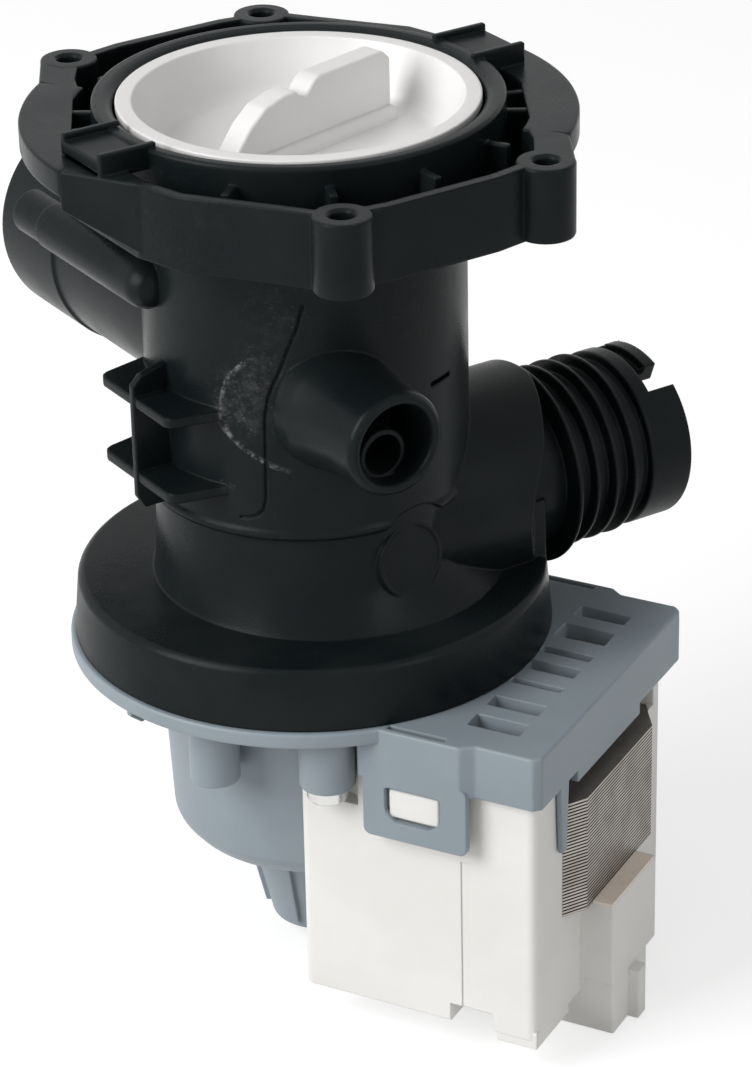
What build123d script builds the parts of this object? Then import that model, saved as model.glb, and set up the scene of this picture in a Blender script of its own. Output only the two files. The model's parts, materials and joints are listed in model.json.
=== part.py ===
from build123d import *
from math import cos, radians, sin
import os

# Washer drain pump in millimetres. While building, Z is the rotor axis and heights are measured
# from the top of the motor plate. The export lowers everything so that the origin is the centre
# of the ear pattern on the ears' top face.

# Fits and clearances
CUT = 2.0
RUN_FIT = 0.06
PRESS_GAP = 0.02
SEAT_GAP = 0.3
SLIDE_GAP = 0.4
LAMINA_GAP = 0.15

# Place of the motor: its long side is turned about the rotor axis
MOTOR_TURN = 29.8

# Filter barrel
BARREL_R = 30.4
BARREL_LOWER_R = 29.5
BARREL_STEP_Z = 32.0
BARREL_BORE_R = 28.0
CHAMBER_R = 27.0
CHAMBER_TOP = 38.0
PARTITION_T = 2.5
SUCTION_R = 12.0
FOOT_TOP = 26.0
FOOT_SECTIONS = [(FOOT_TOP, BARREL_LOWER_R, 0.0), (20.5, 30.1, 0.5), (16.0, 31.6, 1.7), (11.0, 34.8, 4.0)]
FOOT_LEAN = 60.0

# Skirt over the motor plate
SKIRT_R = 46.16
SKIRT_TOP_R = 45.1
SKIRT_TOP = 12.3
SKIRT_EDGE = 1.0
SKIRT_WALL = 2.4
SKIRT_ROOF = 2.5
HUB_WALL_R = 33.6
SKIRT_RIBS = 16
SKIRT_RIB_T = 1.6

# Mouth ring and flange
RING_R = 37.8
RING_BORE_R = 33.9
RING_TOP = 107.6
FLANGE_LOW = 90.5
FLANGE_FLOOR = 92.5
EAR_TOP = 104.5
EAR_X = 47.5
EAR_Y = 21.3
EAR_R = 5.4
EAR_HOLE_R = 2.2
WALL_T = 2.0
WALL_POINTS = [
    (-12.0, -43.0), (14.6, -43.0), (16.2, -42.5), (24.3, -40.2), (32.5, -34.0), (39.3, -29.0),
    (47.5, -23.2), (49.3, -12.6), (49.3, 10.0), (47.5, 21.3), (36.0, 29.1),
]
LOBE_R = 51.0
LOBE_INNER_R = 42.0
LOBE_LOW = 99.5
LOBE_FIRST = -141.0
LOBE_LAST = -88.0
LOBE_TOE_IN = [(13.0, -41.2), (0.0, -43.0)]
LOBE_HEEL = [(-50.5, -25.7), (-47.5, -21.3)]
LOBE_HEEL_BITE = 3.0
TOE_TURN = 30.9
TOE_LENGTH = 18.3
TOE_WEB_HIGH = 97.0
STUB_ANGLES = (-50.0, -24.0, 3.0, 30.0, 55.0, 68.0)
STUB_OUT_R = 42.2
STUB_T = 1.6
STUB_TOP = 104.0
SNAP_X = 1.8
SNAP_ARM_X = 6.4
SNAP_ARM_T = 1.4
SNAP_OUT = 46.5
SNAP_IN = 35.0
SNAP_LOW = 103.8
SNAP_TOP = 108.6
SNAP_SHELF_IN = 42.6
SNAP_SHELF_LOW = 105.0
SNAP_SHELF_TOP = 107.2

# Coarse two-start thread between the mouth ring and the filter cap
THREAD_LEAD = 10.0
THREAD_STARTS = 2
THREAD_RIB = 2.0
RING_THREAD_CREST = 32.5
RING_THREAD_LOW = 97.2
RING_THREAD_SWEEP = 140.0
CAP_THREAD_CREST = 33.5
CAP_THREAD_SWEEP = 60.0
THREAD_BITE = 0.6

# Outlet towards +Y
OUTLET_X = 7.6
OUTLET_Z = 23.5
OUTLET_R = 15.9
OUTLET_BORE_R = 13.6
OUTLET_SEAT_R = 17.6
OUTLET_SEAT_LOW = 62.6
OUTLET_SEAT_HIGH = 65.6
OUTLET_TIP_R = 17.2
OUTLET_END = 72.0
FIN_R = 18.1
FIN_T = 1.0
FIN_FIRST = 49.45
FIN_PITCH = 4.45
FIN_COUNT = 3
RIM_R = 20.0
RIM_AT = 44.0
DOME_R = 20.8
DOME_END = 42.6
DOME_ROUND = 4.0
DOME_LIMIT_R = 43.5
NOTCH_SPANS = ((50.0, 68.0), (112.0, 130.0))
NOTCH_LOW = 65.9
HOOK_SPAN = (68.0, 112.0)
HOOK_LOW = 68.4
HOOK_END = 71.0
GUSSET_T = 1.6
GUSSET_X = 24.5
GUSSET_Y = 38.0
GUSSET_TOP = 24.0

# Inlet towards -X
INLET_Y = -4.5
INLET_Z = 63.0
INLET_R = 21.5
INLET_BORE_R = 19.2
INLET_END = -70.5
INLET_SEAT = 20.0
INLET_NECK_R = 21.0

# Small side tube beside the inlet
VENT_Y = -31.0
VENT_Z = 76.0
VENT_R = 4.7
VENT_BORE_R = 2.8
VENT_END = -47.0
VENT_SEAT = 9.0
VENT_SEAT_R = 4.4
VENT_STOP = -0.5
VENT_ROUND = 4.0
VENT_BLIND = -14.0
VENT_WEB_T = 2.0
VENT_WEB_END = -36.0

# Hose port towards +X
PORT_Y = -10.4
PORT_Z = 57.5
PORT_END = 47.0
PORT_R = 10.0
PORT_STRAIGHT = 39.0
PORT_ROOT = 24.0
PORT_ROOT_R = 11.8
PORT_BORE_R = 7.5
PORT_FLOOR = 33.0
SPOUT_Y = -11.0
SPOUT_Z = 54.4
SPOUT_R = 4.8
SPOUT_BORE_R = 3.8
SPOUT_END = 43.0

# Side bracket towards -Y
BRACKET_T = 2.0
BRACKET_HIGH = 54.6
BRACKET_LOW = 39.4
BRACKET_POINTS = [(-15.0, -25.5), (-12.5, -37.5), (12.5, -37.5), (15.0, -25.5)]
BRACKET_WEB_T = 1.5
BRACKET_WEB_POINTS = [
    (-25.5, 34.0), (-36.2, 34.0), (-37.8, 36.5), (-37.8, 58.8), (-35.8, 60.8), (-30.4, 62.2), (-25.5, 62.2),
]

# Guide ribs in the barrel for the strainer
KEY_W = 3.0
KEY_DEPTH = 2.2
KEY_LOW = 46.0
KEY_HIGH = 84.0

# Flange seal and screws
SEAL_R = 30.3
SEAL_WIRE = 1.1
SEAL_GROOVE_W = 3.0
SCREW_R = 38.5
SCREW_ANGLES = (-59.0, 59.0, 180.0)
SCREW_SHANK = 1.5
SCREW_TIP = 9.0
SCREW_HEAD_R = 3.75
SCREW_HEAD_LOW = -20.2
SCREW_BOSS_R = 5.3
SCREW_BOSS_LOW = -18.0
SCREW_SLOT_R = 1.9
SCREW_SLOT_DEPTH = 1.2
POST_R = 4.4
SUPPORT_R = 4.8
SUPPORT_CIRCLE_R = 35.2
SUPPORT_ANGLE = 95.0
SUPPORT_LOW = -18.5
FIN_ANGLE = 115.0
FIN_WEB = [(28.0, -2.0), (44.0, -2.0), (44.0, -6.5), (41.5, -8.5), (28.0, -4.5)]
FIN_WEB_T = 1.5

# Grey motor flange, in the motor's own direction
PLATE_R = 47.0
PLATE_T = 3.1
PLATE_POINTS = [
    (0.0, -34.7), (48.0, -34.7), (50.5, -32.9), (62.0, -32.9), (63.4, -31.5),
    (63.4, 31.5), (62.0, 32.9), (50.5, 32.9), (48.0, 34.7), (0.0, 34.7),
]
APRON_LOW = -11.0
APRON_T = 1.6
APRON_START = 27.0
SLOT_X = (45.5, 56.1)
SLOT_SPANS = (
    (-26.0, -21.5), (-17.7, -13.8), (-8.0, -6.2), (-2.0, 1.7), (5.1, 7.5), (12.0, 17.5), (21.2, 25.1),
)
TAB_SPANS = ((-17.0, -13.8), (13.8, 17.0))
TAB_LOW = -15.5
LEG_SPAN = (-23.5, -19.6)
LEG_TIP_SPAN = (-22.3, -20.8)
LEG_X = (62.3, 63.4)
LEG_LOW = -33.0
LOOP_X = (28.0, 49.4)
LOOP_LOW = -23.0
LOOP_WINDOW_X = (32.6, 44.0)
LOOP_WINDOW_Z = (-19.2, -12.0)
LOOP_Y = 34.7
CAN_TOP_R = 30.3
CAN_LOW_R = 28.5
CAN_WALL = 1.9
CAN_BEND_Z = -39.5
CAN_ROUND_R = 25.6
CAN_LOW = -43.0
CAN_FLOOR_T = 1.5
CAN_CUT_X = 12.3
CAN_FLOOR_CORNER = 0.2
WELL_R = 17.2
WELL_BORE_R = 15.6
WELL_FLOOR = -41.0
BOSS_TOP_R = 15.0
BOSS_LOW_R = 9.8
BOSS_LOW = -66.0
BOSS_SEAT_R = 8.0
BOSS_SEAT_Z = -52.3
BOSS_PIT_R = 6.0
BOSS_PIT_Z = -62.5
RECESS_R = 20.3
RECESS_DEPTH = 1.2

# Stator overmould
MOULD_X = (12.6, 62.0)
MOULD_Y = 31.2
MOULD_Z = (-62.5, -6.0)
MOULD_EDGE = 2.0
MOULD_FAR_END = 59.2
MOULD_FAR_Y = 22.6
MOULD_CLEAR = 17.6
PAD_X = (30.0, 34.0)
PAD_Y = (27.0, 31.0)
END_WINDOW_X = 55.0
END_WINDOW_Y = 22.2
APRON_CLEAR_X = 61.3
GROOVE_X = 47.5
GROOVE_W = 1.0
GROOVE_DEPTH = 0.6
GROOVE_TOP = -26.5
NOTCH_X = (44.0, 53.0)
NOTCH_TOP = -58.5
NOTCH_IN = 25.0
FOOT_X = (53.5, 62.0)
FOOT_Y = (16.5, 31.0)
FOOT_LOW = -64.2
LATCH_X = (33.1, 43.5)
LATCH_Z = (-18.6, -12.6)
LATCH_OUT = 34.0
BOSS_NOTCH_R = 5.7
BOSS_NOTCH_LOW = -25.0
PLUG_X = (56.0, 69.0)
PLUG_UPPER_Y = (-11.6, 8.5)
PLUG_UPPER_LOW = -59.5
PLUG_LOWER_Y = (-11.4, 4.3)
PLUG_LOW = -70.5
PLUG_RIB_X = 71.2
PLUG_RIB_Y = (-4.4, -0.8)
SOCKET_X = (58.2, 67.4)
SOCKET_Y = (-9.8, 2.7)
SOCKET_TOP = -60.0

# Lamination stack
STACK_X = (-14.0, 65.0)
STACK_YOKE = 52.0
STACK_Z = (-41.0, -16.5)
LEG_IN = 9.0
LEG_OUT = 22.0
STACK_END_Y = 15.0
STACK_END_X = 60.5
POLE_ROUND = 6.0
POLE_BORE_R = 17.5

# Bobbins and windings
BOBBIN_X = (25.8, 50.0)
BOBBIN_WALL = 1.0
BOBBIN_FLANGE_T = 1.2
WINDING_T = 5.6
FLANGE_OVER = 0.75
BOBBIN_POCKET = 0.3
WINDING_ROUND = 4.5

# Terminals and insulation strip
BLADE_W = 6.3
BLADE_T = 0.8
BLADE_YS = (-7.0, -0.4)
BLADE_X = 59.6
BLADE_LOW = -69.0
BLADE_TOP = -52.0
STRIP_X = (65.1, 69.0)
STRIP_Y = (-12.5, 7.0)
STRIP_T = 0.5

# Bearings
SHIELD_R = 20.0
SHIELD_TOP = 1.0
SHIELD_HUB_R = 15.3
SHIELD_LOW = -6.5
SHIELD_POCKET_R = 9.5
SHIELD_POCKET_TOP = -0.8
SHIELD_HOLE_R = 3.2
SHIELD_GROOVE_R = 13.0
SHIELD_GROOVE_Z = (-5.5, -2.7)
SHIELD_SEAL_R = 14.2
SHIELD_SEAL_WIRE = 1.1
FRONT_MOUNT_Z = (-6.4, -1.1)
FRONT_BUSH_R = 6.0
FRONT_BUSH_Z = (-6.6, -1.1)
REAR_MOUNT_Z = (-52.0, -41.2)
REAR_BUSH_R = 5.0
REAR_BUSH_Z = (-52.0, -41.0)
WASHER_R = 4.8
WASHER_T = 0.5

# Rotor
SHAFT_R = 2.5
SHAFT_LOW = -54.0
SHAFT_TOP = 21.0
SHAFT_EDGE = 0.4
CORE_R = 5.6
CORE_Z = (-39.9, -7.7)
MAGNET_R = 14.6
MAGNET_Z = (-38.6, -9.0)
DOG_Z = (5.6, 10.4)
DOG_HUB_R = 4.4
DOG_ARM_R = 8.6
DOG_HALF = 30.0

# Impeller
HUB_R = 11.0
HUB_CAVITY_R = 9.0
HUB_LOW = 4.2
HUB_ROOF = 11.0
HUB_TOP = 16.0
NOSE_R = 5.0
NOSE_TOP = 20.0
STOP_INNER_R = 4.8
LID_T = 1.6
LID_HOLE_R = 3.4
LID_SPIGOT_T = 0.9
VANE_COUNT = 8
VANE_T = 1.6
VANE_R = 22.5
VANE_TOP = 21.0
VANE_IN_R = 4.0

# Filter cap
CAP_R = 32.1
CAP_TOP = 107.2
CAP_LOW = 93.4
CUP_TOP_R = 30.3
CUP_FLOOR_R = 27.0
CUP_FLOOR = 97.0
CUP_UNDER = 94.4
CAP_HOLLOW_R = 30.3
CAP_HOLLOW_IN_R = 29.0
CAP_HOLLOW_TOP = 96.4
PLUG_R = 27.4
PLUG_BORE_R = 22.0
PLUG_BOTTOM = 86.6
CAP_SEAL_Z = 89.0
CAP_SEAL_WIRE = 1.3
CAP_SEAL_R = 26.6
CAP_GROOVE_DEPTH = 2.4
CAP_GROOVE_W = 3.2
GRIP_TURN = 104.0
GRIP_T = 5.0
GRIP_POINTS = [
    (-22.5, 96.5), (-18.0, 102.0), (-15.0, 105.3), (-11.0, 108.0), (-6.0, 109.0), (-3.0, 109.0),
    (-1.6, 107.6), (-0.4, 107.6), (1.5, 109.6), (3.0, 110.3), (20.0, 110.3), (22.0, 108.5), (22.0, 96.5),
]
GRIP_FOOT_T = 9.0
GRIP_FOOT_TOP = 99.5
GRIP_FOOT_X = (-19.0, 22.0)
SPIGOT_R = 6.0
SPIGOT_LOW = 78.4
COLLAR_R = 6.9
COLLAR_T = 1.3

# Strainer
CAGE_R = 25.4
CAGE_WALL = 1.8
CAGE_LOW = 43.5
CAGE_TOP = 85.4
CAGE_DECK = 3.0
CAGE_BAND_LOW = 50.0
CAGE_BAND_HIGH = 78.5
CAGE_SLOT_W = 4.4
CAGE_SLOTS = 20
CAGE_FIRST_ANGLE = 205.0
CAGE_STEP_ANGLE = 17.0
MOUTH_HALF = 16.0
STRAINER_BORE_R = 6.06
HUB_TUBE_R = 10.0
HUB_TUBE_LOW = 80.2
DECK_HOLE_R = 5.0
DECK_CIRCLE_R = 16.5
DECK_HOLES = 6
GUIDE_W = 7.0
GUIDE_R = 27.5
GUIDE_LOW = 46.5
GUIDE_HIGH = 82.0

BASE = (Align.CENTER, Align.CENTER, Align.MIN)
CORNER = (Align.MIN, Align.MIN, Align.MIN)
QUARTER = 90
HALF_TURN = 180
FULL_TURN = 360


def rod(radius, low, high, x=0, y=0):
    return Pos(x, y, low) * Cylinder(radius, high - low, align=BASE)


def ring(outer, inner, low, high, x=0, y=0):
    return rod(outer, low, high, x, y) - rod(inner, low - CUT, high + CUT, x, y)


def taper(low_r, high_r, low, high):
    return Pos(0, 0, low) * Cone(low_r, high_r, high - low, align=BASE)


def rod_x(radius, start, end, y, z):
    return Pos(start, y, z) * Rot(0, QUARTER, 0) * Cylinder(radius, end - start, align=BASE)


def taper_x(start_r, end_r, start, end, y, z):
    return Pos(start, y, z) * Rot(0, QUARTER, 0) * Cone(start_r, end_r, end - start, align=BASE)


def rod_y(radius, start, end, x, z):
    return Pos(x, start, z) * Rot(-QUARTER, 0, 0) * Cylinder(radius, end - start, align=BASE)


def block(xs, ys, zs):
    size = (xs[1] - xs[0], ys[1] - ys[0], zs[1] - zs[0])
    return Pos(xs[0], ys[0], zs[0]) * Box(*size, align=CORNER)


def prism(points, low, high):
    face = make_face(Polyline(*points, close=True))
    return Pos(0, 0, low) * extrude(face, amount=high - low, dir=(0, 0, 1))


def turned(points):
    face = make_face(Polyline(*[(r, 0, z) for r, z in points], close=True))
    return revolve(face, axis=Axis.Z)


def polar(radius, angle):
    return (radius * cos(radians(angle)), radius * sin(radians(angle)))


def sector(outer, inner, first, last, low, high):
    reach = outer * 2
    steps = 4
    fan = [(0, 0)] + [polar(reach, first + (last - first) * i / steps) for i in range(steps + 1)]
    return ring(outer, inner, low, high) & prism(fan, low, high)


def about_z(shape, angle):
    return Rot(0, 0, angle) * shape


def twin(shape):
    return shape + about_z(shape, HALF_TURN)


def mirror_y(shape):
    return mirror(shape, about=Plane.XZ)


def helical_rib(inner, outer, low, first, sweep_angle):
    rise = THREAD_LEAD * sweep_angle / FULL_TURN
    path = Helix(pitch=THREAD_LEAD, height=rise, radius=(inner + outer) / 2)
    start = Plane(origin=path @ 0, x_dir=(1, 0, 0), z_dir=path % 0)
    rib = sweep(start * Rectangle(outer - inner, THREAD_RIB), path=path, is_frenet=True)
    return about_z(Pos(0, 0, low) * rib, first)


# Pump housing
def foot_cone():
    sections = []
    for height, radius, shift in FOOT_SECTIONS:
        x, y = polar(shift, FOOT_LEAN)
        sections.append(Pos(x, y, height) * Circle(radius))
    return loft(sections)


def skirt():
    shell = turned([
        (0, 0), (SKIRT_R, 0), (SKIRT_TOP_R, SKIRT_TOP - SKIRT_EDGE),
        (SKIRT_TOP_R - SKIRT_EDGE, SKIRT_TOP), (0, SKIRT_TOP),
    ])
    pocket = ring(SKIRT_TOP_R - SKIRT_WALL, HUB_WALL_R, -CUT, SKIRT_TOP - SKIRT_ROOF)
    ribs = Part()
    for i in range(SKIRT_RIBS):
        xs = (HUB_WALL_R - SKIRT_RIB_T, SKIRT_TOP_R - SKIRT_WALL + SKIRT_RIB_T)
        rib = block(xs, (-SKIRT_RIB_T / 2, SKIRT_RIB_T / 2), (0, SKIRT_TOP))
        ribs += about_z(rib, FULL_TURN * i / SKIRT_RIBS)
    for angle in SCREW_ANGLES:
        x, y = polar(SCREW_R, angle + MOTOR_TURN)
        ribs += rod(POST_R, 0, SKIRT_TOP - SKIRT_EDGE, x, y)
    return shell - (pocket - ribs)


def flange_tray():
    outline = WALL_POINTS + [(-x, -y) for x, y in WALL_POINTS]
    face = make_face(Polyline(*outline, close=True))
    inner = offset(face, amount=-WALL_T, kind=Kind.INTERSECTION)
    plan = Pos(0, 0, FLANGE_LOW) * extrude(face, amount=EAR_TOP - FLANGE_LOW, dir=(0, 0, 1))
    hollow = Pos(0, 0, FLANGE_FLOOR) * extrude(inner, amount=EAR_TOP - FLANGE_LOW, dir=(0, 0, 1))
    return plan - hollow


def lobe():
    plate = sector(LOBE_R, LOBE_INNER_R, LOBE_FIRST, LOBE_LAST, LOBE_LOW, EAR_TOP)
    start = polar(LOBE_R, LOBE_LAST)
    along = polar(TOE_LENGTH, TOE_TURN)
    toe = [start, (start[0] + along[0], start[1] + along[1])] + LOBE_TOE_IN
    plate += prism(toe, LOBE_LOW, EAR_TOP)
    bite = polar(LOBE_INNER_R, LOBE_FIRST + LOBE_HEEL_BITE)
    plate += prism([polar(LOBE_R, LOBE_FIRST)] + LOBE_HEEL + [bite], LOBE_LOW, EAR_TOP)
    return plate


def toe_web():
    outline = [(0, TOE_WEB_HIGH), (TOE_LENGTH, FLANGE_LOW), (TOE_LENGTH, EAR_TOP), (0, EAR_TOP)]
    face = make_face(Polyline(*[(s, 0, z) for s, z in outline], close=True))
    web = extrude(face, amount=WALL_T, dir=(0, 1, 0))
    return Pos(*polar(LOBE_R, LOBE_LAST), 0) * about_z(web, TOE_TURN)


def snap_clear():
    xs = (SNAP_X - SNAP_ARM_X, SNAP_X + SNAP_ARM_X)
    return block(xs, (-SNAP_OUT, -RING_R), (FLANGE_FLOOR, RING_TOP))


def snap_bracket():
    half = SNAP_ARM_T / 2
    arms = Part()
    for x in (SNAP_X - SNAP_ARM_X, SNAP_X + SNAP_ARM_X):
        arms += block((x - half, x + half), (-SNAP_OUT, -SNAP_IN), (SNAP_LOW, SNAP_TOP))
    xs = (SNAP_X - SNAP_ARM_X, SNAP_X + SNAP_ARM_X)
    return arms + block(xs, (-SNAP_OUT, -SNAP_SHELF_IN), (SNAP_SHELF_LOW, SNAP_SHELF_TOP))


def stubs():
    group = Part()
    for angle in STUB_ANGLES:
        stub = block((RING_R - STUB_T, STUB_OUT_R), (-STUB_T / 2, STUB_T / 2), (FLANGE_LOW, STUB_TOP))
        group += about_z(stub, angle)
    return group


def flange():
    body = flange_tray() + twin(lobe()) + twin(toe_web())
    for x in (-EAR_X, EAR_X):
        for y in (-EAR_Y, EAR_Y):
            body += rod(EAR_R, FLANGE_LOW, EAR_TOP, x, y)
    body -= twin(snap_clear())
    body += twin(snap_bracket()) + twin(stubs())
    body += rod(RING_R, FLANGE_LOW, RING_TOP)
    for x in (-EAR_X, EAR_X):
        for y in (-EAR_Y, EAR_Y):
            body -= rod(EAR_HOLE_R, FLANGE_LOW - CUT, EAR_TOP + CUT, x, y)
    return body


def outlet_outside():
    body = rod_y(OUTLET_R, 0, OUTLET_SEAT_LOW + CUT, OUTLET_X, OUTLET_Z)
    body += rod_y(OUTLET_SEAT_R, OUTLET_SEAT_LOW, OUTLET_SEAT_HIGH, OUTLET_X, OUTLET_Z)
    body += rod_y(OUTLET_TIP_R, OUTLET_SEAT_LOW, OUTLET_END, OUTLET_X, OUTLET_Z)
    body += rod_y(RIM_R, RIM_AT - FIN_T / 2, RIM_AT + FIN_T / 2, OUTLET_X, OUTLET_Z)
    dome = rod_y(DOME_R, 0, DOME_END, OUTLET_X, OUTLET_Z)
    dome = fillet(dome.edges().filter_by(GeomType.CIRCLE).sort_by(Axis.Y)[-1], DOME_ROUND)
    body += dome & rod(DOME_LIMIT_R, 0, CHAMBER_TOP * 2)
    for i in range(FIN_COUNT):
        start = FIN_FIRST + FIN_PITCH * i - FIN_T / 2
        body += rod_y(FIN_R, start, start + FIN_T, OUTLET_X, OUTLET_Z)
    gusset = block((GUSSET_X - GUSSET_T, GUSSET_X), (0, GUSSET_Y), (SKIRT_TOP - SKIRT_ROOF, GUSSET_TOP))
    return body + (gusset & rod(SKIRT_TOP_R, 0, SKIRT_TOP * 2))


def outlet_wedge(outer, inner, span, low, high):
    wedge = sector(outer, inner, -span[1], -span[0], low, high)
    return Pos(OUTLET_X, 0, OUTLET_Z) * Rot(-QUARTER, 0, 0) * wedge


def outlet_cuts():
    outer = OUTLET_SEAT_R + CUT
    inner = OUTLET_BORE_R - CUT
    body = rod_y(OUTLET_BORE_R, 0, OUTLET_END + CUT, OUTLET_X, OUTLET_Z)
    for span in NOTCH_SPANS:
        body += outlet_wedge(outer, inner, span, NOTCH_LOW, OUTLET_END + CUT)
    body += outlet_wedge(outer, OUTLET_R, HOOK_SPAN, NOTCH_LOW, HOOK_LOW)
    return body + outlet_wedge(outer, inner, HOOK_SPAN, HOOK_END, OUTLET_END + CUT)


def inlet_outside():
    body = rod_x(INLET_R, INLET_END, INLET_END + INLET_SEAT, INLET_Y, INLET_Z)
    body += rod_x(INLET_NECK_R, INLET_END, 0, INLET_Y, INLET_Z)
    vent = rod_x(VENT_R, VENT_END + VENT_SEAT, VENT_STOP, VENT_Y, VENT_Z)
    vent = fillet(vent.edges().filter_by(GeomType.CIRCLE).sort_by(Axis.X)[-1], VENT_ROUND)
    web_xs = (VENT_WEB_END, VENT_STOP - VENT_R)
    web = block(web_xs, (VENT_Y, INLET_Y), (VENT_Z - VENT_WEB_T / 2, VENT_Z + VENT_WEB_T / 2))
    seat = rod_x(VENT_SEAT_R, VENT_END, VENT_WEB_END, VENT_Y, VENT_Z)
    return body + vent + seat + web


def port_outside():
    body = taper_x(PORT_ROOT_R, PORT_R, PORT_ROOT, PORT_STRAIGHT, PORT_Y, PORT_Z)
    return body + rod_x(PORT_R, PORT_ROOT, PORT_END, PORT_Y, PORT_Z)


def side_bracket():
    start = BRACKET_WEB_T / 2
    face = make_face(Polyline(*[(start, y, z) for y, z in BRACKET_WEB_POINTS], close=True))
    body = extrude(face, amount=BRACKET_WEB_T, dir=(-1, 0, 0))
    for low in (BRACKET_LOW, BRACKET_HIGH):
        body += prism(BRACKET_POINTS, low, low + BRACKET_T)
    return body


def chamber_walls():
    partition = rod(BARREL_R - CUT / 2, CHAMBER_TOP, CHAMBER_TOP + PARTITION_T)
    partition -= rod(SUCTION_R, CHAMBER_TOP - CUT, CHAMBER_TOP + PARTITION_T + CUT)
    body = partition
    for angle in (QUARTER, -QUARTER):
        xs = (BARREL_BORE_R - KEY_DEPTH, BARREL_BORE_R + CUT / 2)
        body += about_z(block(xs, (-KEY_W / 2, KEY_W / 2), (KEY_LOW, KEY_HIGH)), angle)
    for i in range(THREAD_STARTS):
        start = FULL_TURN * i / THREAD_STARTS
        outer = RING_BORE_R + THREAD_BITE
        body += helical_rib(RING_THREAD_CREST, outer, RING_THREAD_LOW, start, RING_THREAD_SWEEP)
    return body


def pump_housing():
    body = rod(BARREL_R, BARREL_STEP_Z, FLANGE_FLOOR)
    body += rod(BARREL_LOWER_R, FOOT_TOP, BARREL_STEP_Z)
    body += foot_cone()
    body += skirt()
    body += outlet_outside()
    body += inlet_outside()
    body += port_outside()
    body += side_bracket()
    body += flange()
    body -= rod(CHAMBER_R, -CUT, CHAMBER_TOP)
    body -= rod(BARREL_BORE_R, CHAMBER_TOP, RING_TOP)
    body -= rod(RING_BORE_R, FLANGE_FLOOR, RING_TOP + CUT)
    body -= outlet_cuts()
    body -= rod_x(INLET_BORE_R, INLET_END - CUT, 0, INLET_Y, INLET_Z)
    body -= rod_x(VENT_BORE_R, VENT_END - CUT, VENT_BLIND, VENT_Y, VENT_Z)
    body -= rod_x(PORT_BORE_R, PORT_FLOOR, PORT_END + CUT, PORT_Y, PORT_Z)
    body += rod_x(SPOUT_R, PORT_FLOOR, SPOUT_END, SPOUT_Y, SPOUT_Z)
    body -= rod_x(SPOUT_BORE_R, 0, SPOUT_END + CUT, SPOUT_Y, SPOUT_Z)
    body += chamber_walls()
    groove = SEAL_GROOVE_W / 2
    body -= ring(SEAL_R + groove, SEAL_R - groove, -CUT, SEAL_WIRE * 2 + SEAT_GAP)
    for angle in SCREW_ANGLES:
        x, y = polar(SCREW_R, angle + MOTOR_TURN)
        body -= rod(SCREW_SHANK + RUN_FIT, -CUT, SCREW_TIP + SEAT_GAP, x, y)
    return body


# Grey motor flange
def flange_plate():
    body = rod(PLATE_R, -PLATE_T, 0)
    body += prism(PLATE_POINTS, -PLATE_T, 0)
    face = make_face(Polyline(*PLATE_POINTS, close=True))
    inner = offset(face, amount=-APRON_T, kind=Kind.INTERSECTION)
    apron = Pos(0, 0, APRON_LOW) * extrude(face, amount=-APRON_LOW - CUT, dir=(0, 0, 1))
    apron -= Pos(0, 0, APRON_LOW - CUT) * extrude(inner, amount=-APRON_LOW + CUT, dir=(0, 0, 1))
    far = PLATE_POINTS[4][0]
    body += apron & block((APRON_START, far), (-PLATE_R, PLATE_R), (APRON_LOW, 0))
    for span in TAB_SPANS:
        body += block((far - APRON_T, far), span, (TAB_LOW, APRON_LOW + CUT))
    return body


def corner_leg():
    upper = Pos(0, 0, APRON_LOW + CUT) * Pos(
        (LEG_X[0] + LEG_X[1]) / 2, (LEG_SPAN[0] + LEG_SPAN[1]) / 2
    ) * Rectangle(LEG_X[1] - LEG_X[0], LEG_SPAN[1] - LEG_SPAN[0])
    lower = Pos(0, 0, LEG_LOW) * Pos(
        (LEG_X[0] + LEG_X[1]) / 2, (LEG_TIP_SPAN[0] + LEG_TIP_SPAN[1]) / 2
    ) * Rectangle(LEG_X[1] - LEG_X[0], LEG_TIP_SPAN[1] - LEG_TIP_SPAN[0])
    return loft([lower, upper])


def clip_loop():
    loop = block(LOOP_X, (-LOOP_Y, -LOOP_Y + APRON_T), (LOOP_LOW, APRON_LOW + CUT))
    loop -= block(LOOP_WINDOW_X, (-LOOP_Y - CUT, -LOOP_Y + APRON_T + CUT), LOOP_WINDOW_Z)
    return loop


def motor_can():
    outer = turned([
        (0, -PLATE_T / 2), (CAN_TOP_R, -PLATE_T / 2), (CAN_LOW_R, CAN_BEND_Z), (CAN_ROUND_R, CAN_LOW),
        (0, CAN_LOW),
    ])
    inner = turned([
        (0, CUT), (CAN_TOP_R - CAN_WALL, -PLATE_T), (CAN_LOW_R - CAN_WALL, CAN_BEND_Z - CAN_FLOOR_T),
        (CAN_ROUND_R - CAN_FLOOR_CORNER, CAN_LOW + CAN_FLOOR_T), (0, CAN_LOW + CAN_FLOOR_T),
    ])
    inner &= rod(CAN_TOP_R, CAN_LOW, -PLATE_T)
    bowl = outer - inner
    bowl -= block((CAN_CUT_X, PLATE_R), (-PLATE_R, PLATE_R), (CAN_LOW - CUT, -PLATE_T))
    well = rod(WELL_R, CAN_LOW, 0)
    boss = taper(BOSS_LOW_R, BOSS_TOP_R, BOSS_LOW, CAN_LOW)
    return bowl + well + boss


def under_supports():
    x, y = polar(SUPPORT_CIRCLE_R, -SUPPORT_ANGLE)
    body = rod(SUPPORT_R, SUPPORT_LOW, 0, x, y)
    face = make_face(Polyline(*[(r, -FIN_WEB_T / 2, z) for r, z in FIN_WEB], close=True))
    return body + about_z(extrude(face, amount=FIN_WEB_T, dir=(0, 1, 0)), -FIN_ANGLE)


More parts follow.
